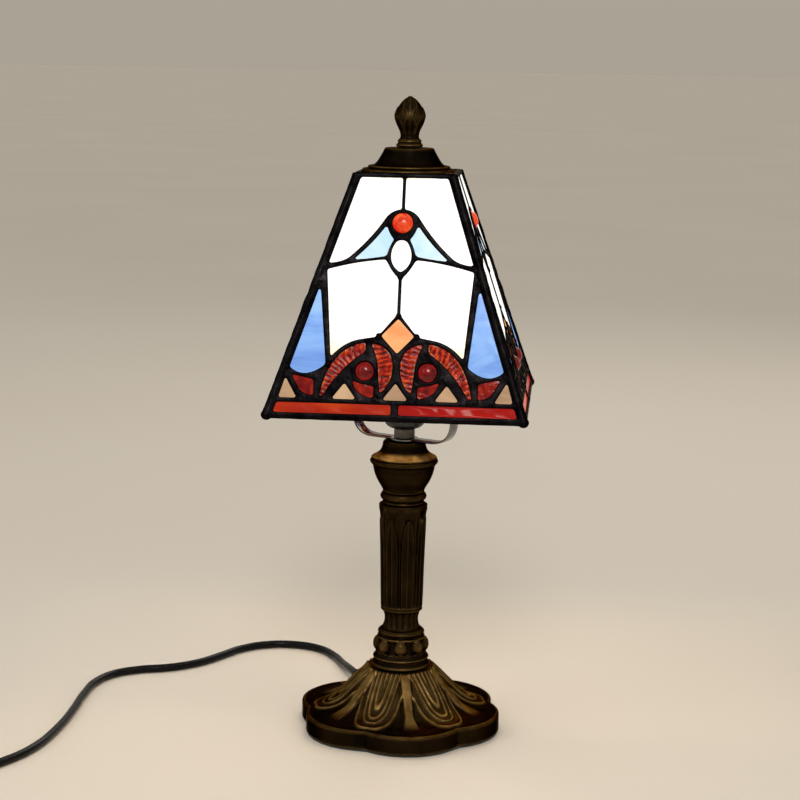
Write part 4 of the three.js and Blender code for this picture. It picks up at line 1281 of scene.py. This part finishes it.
def add_column():
    low = FOOT_TOP + GAP
    column_turned("knuckle_casting", "knuckle", profile(
        [(17.5, low), (17.9, 38.9), (17.5, 39.7)], [(16.7, 40.6), (16.3, 42.6)],
        [(16.9, 43.5), (16.3, 44.4)], [(14.9, 46.4), (14.1, 48), (14.1, 54), (14.5, 55.2)],
        [(14.7, 56.1), (13.6, 56.9), (13, KNUCKLE_TOP)],
    ), low, KNUCKLE_TOP, boss_relief, 240, 0.4)
    low = KNUCKLE_TOP + GAP
    column_turned("pedestal_casting", "pedestal", profile(
        [(13.2, low), (14, 58.6), (14, 59.6), (13.2, 60.5)],
        [(11.6, 61.6), (10.4, 63.8), (9.9, 66.6), (10.2, 69.4), (11.2, 71.8), (12.1, 72.6)],
        [(12.6, 73.2), (12.4, PEDESTAL_TOP)],
    ), low, PEDESTAL_TOP, neck_relief, 192)
    low = PEDESTAL_TOP + GAP
    column_turned("column_casting", "column", profile(
        [(12.3, low), (12.7, 75.2)],
        [(12.6, 78), (12.8, 84), (13.2, 103), (13.8, 121.5), (14.3, 130.8), (15.1, 135.4), (15, 137.2)],
        [(14.2, 138.1), (13, COLUMN_TOP)],
    ), low, COLUMN_TOP, column_relief, 320)
    low = COLUMN_TOP + GAP
    column_turned("bead_casting", "column_bead", profile(
        [(12.4, low), (12.6, 139.4), (12, 140.4)],
        [(13.3, 141.4), (13.9, 143), (13.3, 144.6), (12, 145.5)], [(12.6, 146.2), (12.3, BEAD_TOP)],
    ), low, BEAD_TOP)
    low = BEAD_TOP + GAP
    column_turned("urn_casting", "urn_cup", profile(
        [(12.4, low), (12.9, 147.6)], [(14, 149.6), (16, 153), (17.6, 157), (18.5, 160.8)],
        [(18.8, 161.9), (19.6, 162.9), (20.2, 163.6)], [(20.4, 164.5), (20.1, 165.3), (19.4, CUP_TOP)],
        [(18, CUP_TOP)], [(17, 161.5), (15.4, 156), (12.6, 151.6)],
    ), low, 150.6)
    low = CUP_TOP + GAP
    # The lid carries a painted highlight on its flare at full strength, and only faint brightness on its
    # edges.
    column_turned("lid_casting", "cup_lid", profile(
        [(19.3, low), (19.7, 166.5), (19.2, 167.1)],
        [(17.2, 168.2), (14.9, 169.9), (13.6, 172), (12.9, 174.2)],
        [(12.9, 175.2), (12.4, 176.2), (11.6, LID_TOP)],
    ), low, LID_TOP, lid_flare_highlight, wear_and_highlight_share=1.0, edge=0.12)


# ---------------------------------------------------------------- harp, lampholder and bulb

HARP_TURN = math.radians(-26)
HARP_HALF, HARP_WIDTH, HARP_THICK = 33.8, 9, 1.3
HARP_BOTTOM, HARP_TOP = LID_TOP + GAP, 331.5
SOCKET_BOTTOM, SOCKET_TOP, SOCKET_RADIUS = 184.2, 238.6, 12.2
SOCKET_SPLIT = 206
THREAD_PITCH = 3.3
BULB_TOP, BULB_RADIUS = 284, 17.5
BULB_LIGHT_POWER, BULB_LIGHT_SIZE = 1.1, 0.017


def harp_half():
    """The middle of the harp's strip on one side, from the bottom centre up to the top centre."""
    bottom, top = HARP_BOTTOM + HARP_THICK / 2, HARP_TOP - HARP_THICK / 2
    line = [(0, bottom), (8, bottom), (HARP_HALF - 14, bottom)]
    line += quadratic(line[-1], (HARP_HALF, bottom), (HARP_HALF, bottom + 14), 12)
    line += [(HARP_HALF, 204)]
    arm = [(HARP_HALF, 216), (32.4, 232), (27.8, 252), (20.6, 278), (16.2, 302), (14.6, top - 9)]
    line += smooth_through(arm, 5)
    line += quadratic(line[-1], (14.6, top), (6.5, top), 8)
    return line


def add_harp():
    half = harp_half()
    loop = half + [(-x, z) for x, z in half[:0:-1]]
    rings = []
    across = rounded_bar(HARP_WIDTH, HARP_THICK, 5)
    for i, (x, z) in enumerate(loop):
        along = (Vector(loop[(i + 1) % len(loop)]) - Vector(loop[i - 1])).normalized()
        rings.append([(x + along.y * thick, wide, z - along.x * thick) for wide, thick in across])
    mesh = mesh_from("harp_strip", *skin(rings, closed=True))
    mesh.transform(Matrix.Rotation(HARP_TURN, 4, "Z"))
    piece = finish_mesh("harp_strip", mesh, CHROME, "lamp")
    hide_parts("harp")
    eye = [(ROD_HOLE, HARP_BOTTOM), (8, HARP_BOTTOM), (8.4, 177.4), (8.4, 178.1)]
    eye += [(8, 178.45), (ROD_HOLE, 178.45)]
    turned_piece("harp_eye", eye, CHROME, "lamp", [], 48)


def add_lampholder():
    cap = profile(
        [(ROD_HOLE, SOCKET_BOTTOM), (6.6, SOCKET_BOTTOM)],
        [(9.6, 185.2), (11.5, 187), (SOCKET_RADIUS, 189.4)],
        [(SOCKET_RADIUS, 204.4)], [(11.8, 204.7), (11.8, SOCKET_SPLIT)],
        [(10.8, SOCKET_SPLIT)], [(10.8, 191)], [(ROD_HOLE, 190)],
    )
    turned_piece("lampholder_cap", cap, BLACK, "lamp", ["socket_cap"])
    shell = [(10.8, SOCKET_SPLIT + GAP), (SOCKET_RADIUS, SOCKET_SPLIT + GAP)]
    # Rings moulded round the shell are there to grip it by.
    for i in range(5):
        start = 209 + i * 5
        shell += [(SOCKET_RADIUS, start), (11.8, start + 0.5)]
        shell += [(11.8, start + 1.2), (SOCKET_RADIUS, start + 1.7)]
    shell += [(SOCKET_RADIUS, 237.2), (11.8, 238.2), (11.2, SOCKET_TOP)]
    shell += [(7.4, SOCKET_TOP), (7.4, 237.2), (10.8, 237.2)]
    turned_piece("lampholder_shell", shell, BLACK, "lamp", ["socket_shell"])


def thread_relief(radius, angle, height):
    """A screw thread rolled into thin metal."""
    wave = np.sin(2 * math.pi * height / THREAD_PITCH + angle)
    ends = smoothstep(height, 220, 222) * smoothstep(-height, -234, -232)
    return 0.35 * wave * ends, np.zeros_like(radius)


def add_bulb():
    outer = [(5, 235.6), (5.8, 239.4), (12.9, 248), (BULB_RADIUS, 262), (14.2, 274.3), (7.4, 281.4),
             (0, BULB_TOP)]
    inner = [(0, BULB_TOP - 1), (7, 280.4), (13.4, 273.6), (BULB_RADIUS - 1, 262), (12, 248.6), (4.9, 240),
             (4.1, 236), (4.1, 222)]
    line = [*smooth_through(inner, 6), (5, 222), *smooth_through(outer, 6)]
    glass = turned_piece("bulb_envelope", line, BULB, "bulb", ["bulb_glass"])
    glass.visible_shadow = False
    cap = [(2.8, 217.5), (4.4, 217.5), (5.8, 219.6)] + straight((5.8, 219.6), (5.8, 234.5), 30)[1:]
    cap += [(5.3, 234.5)] + straight((5.3, 234.5), (5.3, 220), 30)[1:] + [(2.8, 218.6)]
    turned_piece("bulb_screw", cap, BRASS, "bulb", ["bulb_cap"], relief=thread_relief)


# ---------------------------------------------------------------- cap and finial


def add_cap():
    line = profile(
        [(3.4, 349), (11.8, 348.8)], [(15, 344.2), (18.8, 339.8), (25.6, 336.9)], [(26.8, 336.7)],
        [(27.3, 337.1), (26.9, 337.8)], [(24.9, 338.5), (24.1, 338.9)],
        [(23.9, 339.7), (22.7, 340), (21.9, 339.7)],
        [(19.4, 341.4), (17.2, 344.6), (15.6, 347.4), (14.7, 349.2)],
        [(14.2, 350), (13.2, 350.3)], [(3.4, 350.3)],
    )
    turned_piece("shade_cap", resampled(line, 0.8), BRONZE, "shade", ["vase_cap"], 96)


BUD_RANKS = ((358.2, 368.6, 0), (363.4, 373.9, 0.5), (369, 379.4, 0))
BUD_LEAVES = 6


def bud_relief(radius, angle, height):
    """Three ranks of pointed bud leaves, each rank tucked behind the one below it."""
    raised = np.zeros_like(radius)
    worn_and_highlit = np.zeros_like(radius)
    for rank, (root, tip, shift) in enumerate(BUD_RANKS):
        off = np.abs(off_nearest(angle, BUD_LEAVES, BOSS_FIRST + shift * 2 * math.pi / BUD_LEAVES))
        rise = np.clip((height - root) / (tip - root), 0, 1.02)
        half = 0.5 * math.pi / BUD_LEAVES * 2.1 * np.sqrt(np.clip(1 - rise ** 2.6, 0, 1))
        depth = (half - off) * radius
        leaf = smoothstep(depth, -0.1, 0.5) * (height > root)
        lift = leaf * (0.55 + 0.5 * rise) * (1 - 0.12 * rank)
        # Each leaf's edge and middle line are painted bright, by abrasion and as painted highlight.
        line = leaf * np.maximum(ridge(depth - 0.5, 0.4), ridge(off * radius, 0.4) * 0.7)
        worn_and_highlit = np.where(lift > raised, line * 0.5, worn_and_highlit)
        raised = np.maximum(raised, lift)
    bud = smoothstep(height, 357.8, 359.4) * smoothstep(-height, -380, -378.6)
    return (raised - 0.75) * bud, worn_and_highlit * bud


def add_finial():
    line = profile(
        [(0, 359.2), (3.4, 359.2)], [(3.4, 350.6)], [(7, 350.6)],
        [(7.9, 351.5), (7.3, 352.6)], [(6.7, 353.2), (7, 354), (6.5, 355)],
        [(5.5, 356.2), (5.5, 357.8), (6.4, 360.6), (8.2, 364.8), (9.2, 368.2), (8.6, 371), (6.6, 374.6),
         (4, 377.8), (1.6, 379.6), (0, 380.1)],
    )
    turned_piece("bud_finial", resampled(line, 0.4), BRONZE, "finial", ["finial"], 144, bud_relief)


def add_finishes():
    """Nodes whose CAD shape is right keep it, with a fuller material."""
    kept = {
        FELT: ["felt_pad"],
        IRON: ["base_weight"],
        STEEL: ["base_washer", "base_nut", "threaded_rod", "lock_nut", "bulb_contact"],
        BRASS: ["harp_stud", "shade_plate", "socket_thread", "socket_contact"],
        BLACK: ["socket_core"],
        BULB: ["bulb_stem"],
        CORD: ["inner_lead"],
    }
    for material, names in kept.items():
        for name in names:
            bpy.data.objects[name].material_slots[0].material = material


def add_bulb_light():
    light = bpy.data.lights.new("bulb_light", "POINT")
    light.energy = BULB_LIGHT_POWER
    light.color = (1, 0.8, 0.55)
    light.shadow_soft_size = BULB_LIGHT_SIZE
    lamp = bpy.data.objects.new("bulb_light", light)
    lamp.location = BULB_CENTRE
    scene.collection.objects.link(lamp)


add_foot()
add_column()
add_harp()
add_lampholder()
add_bulb()
add_cap()
add_finial()
add_finishes()
add_bulb_light()
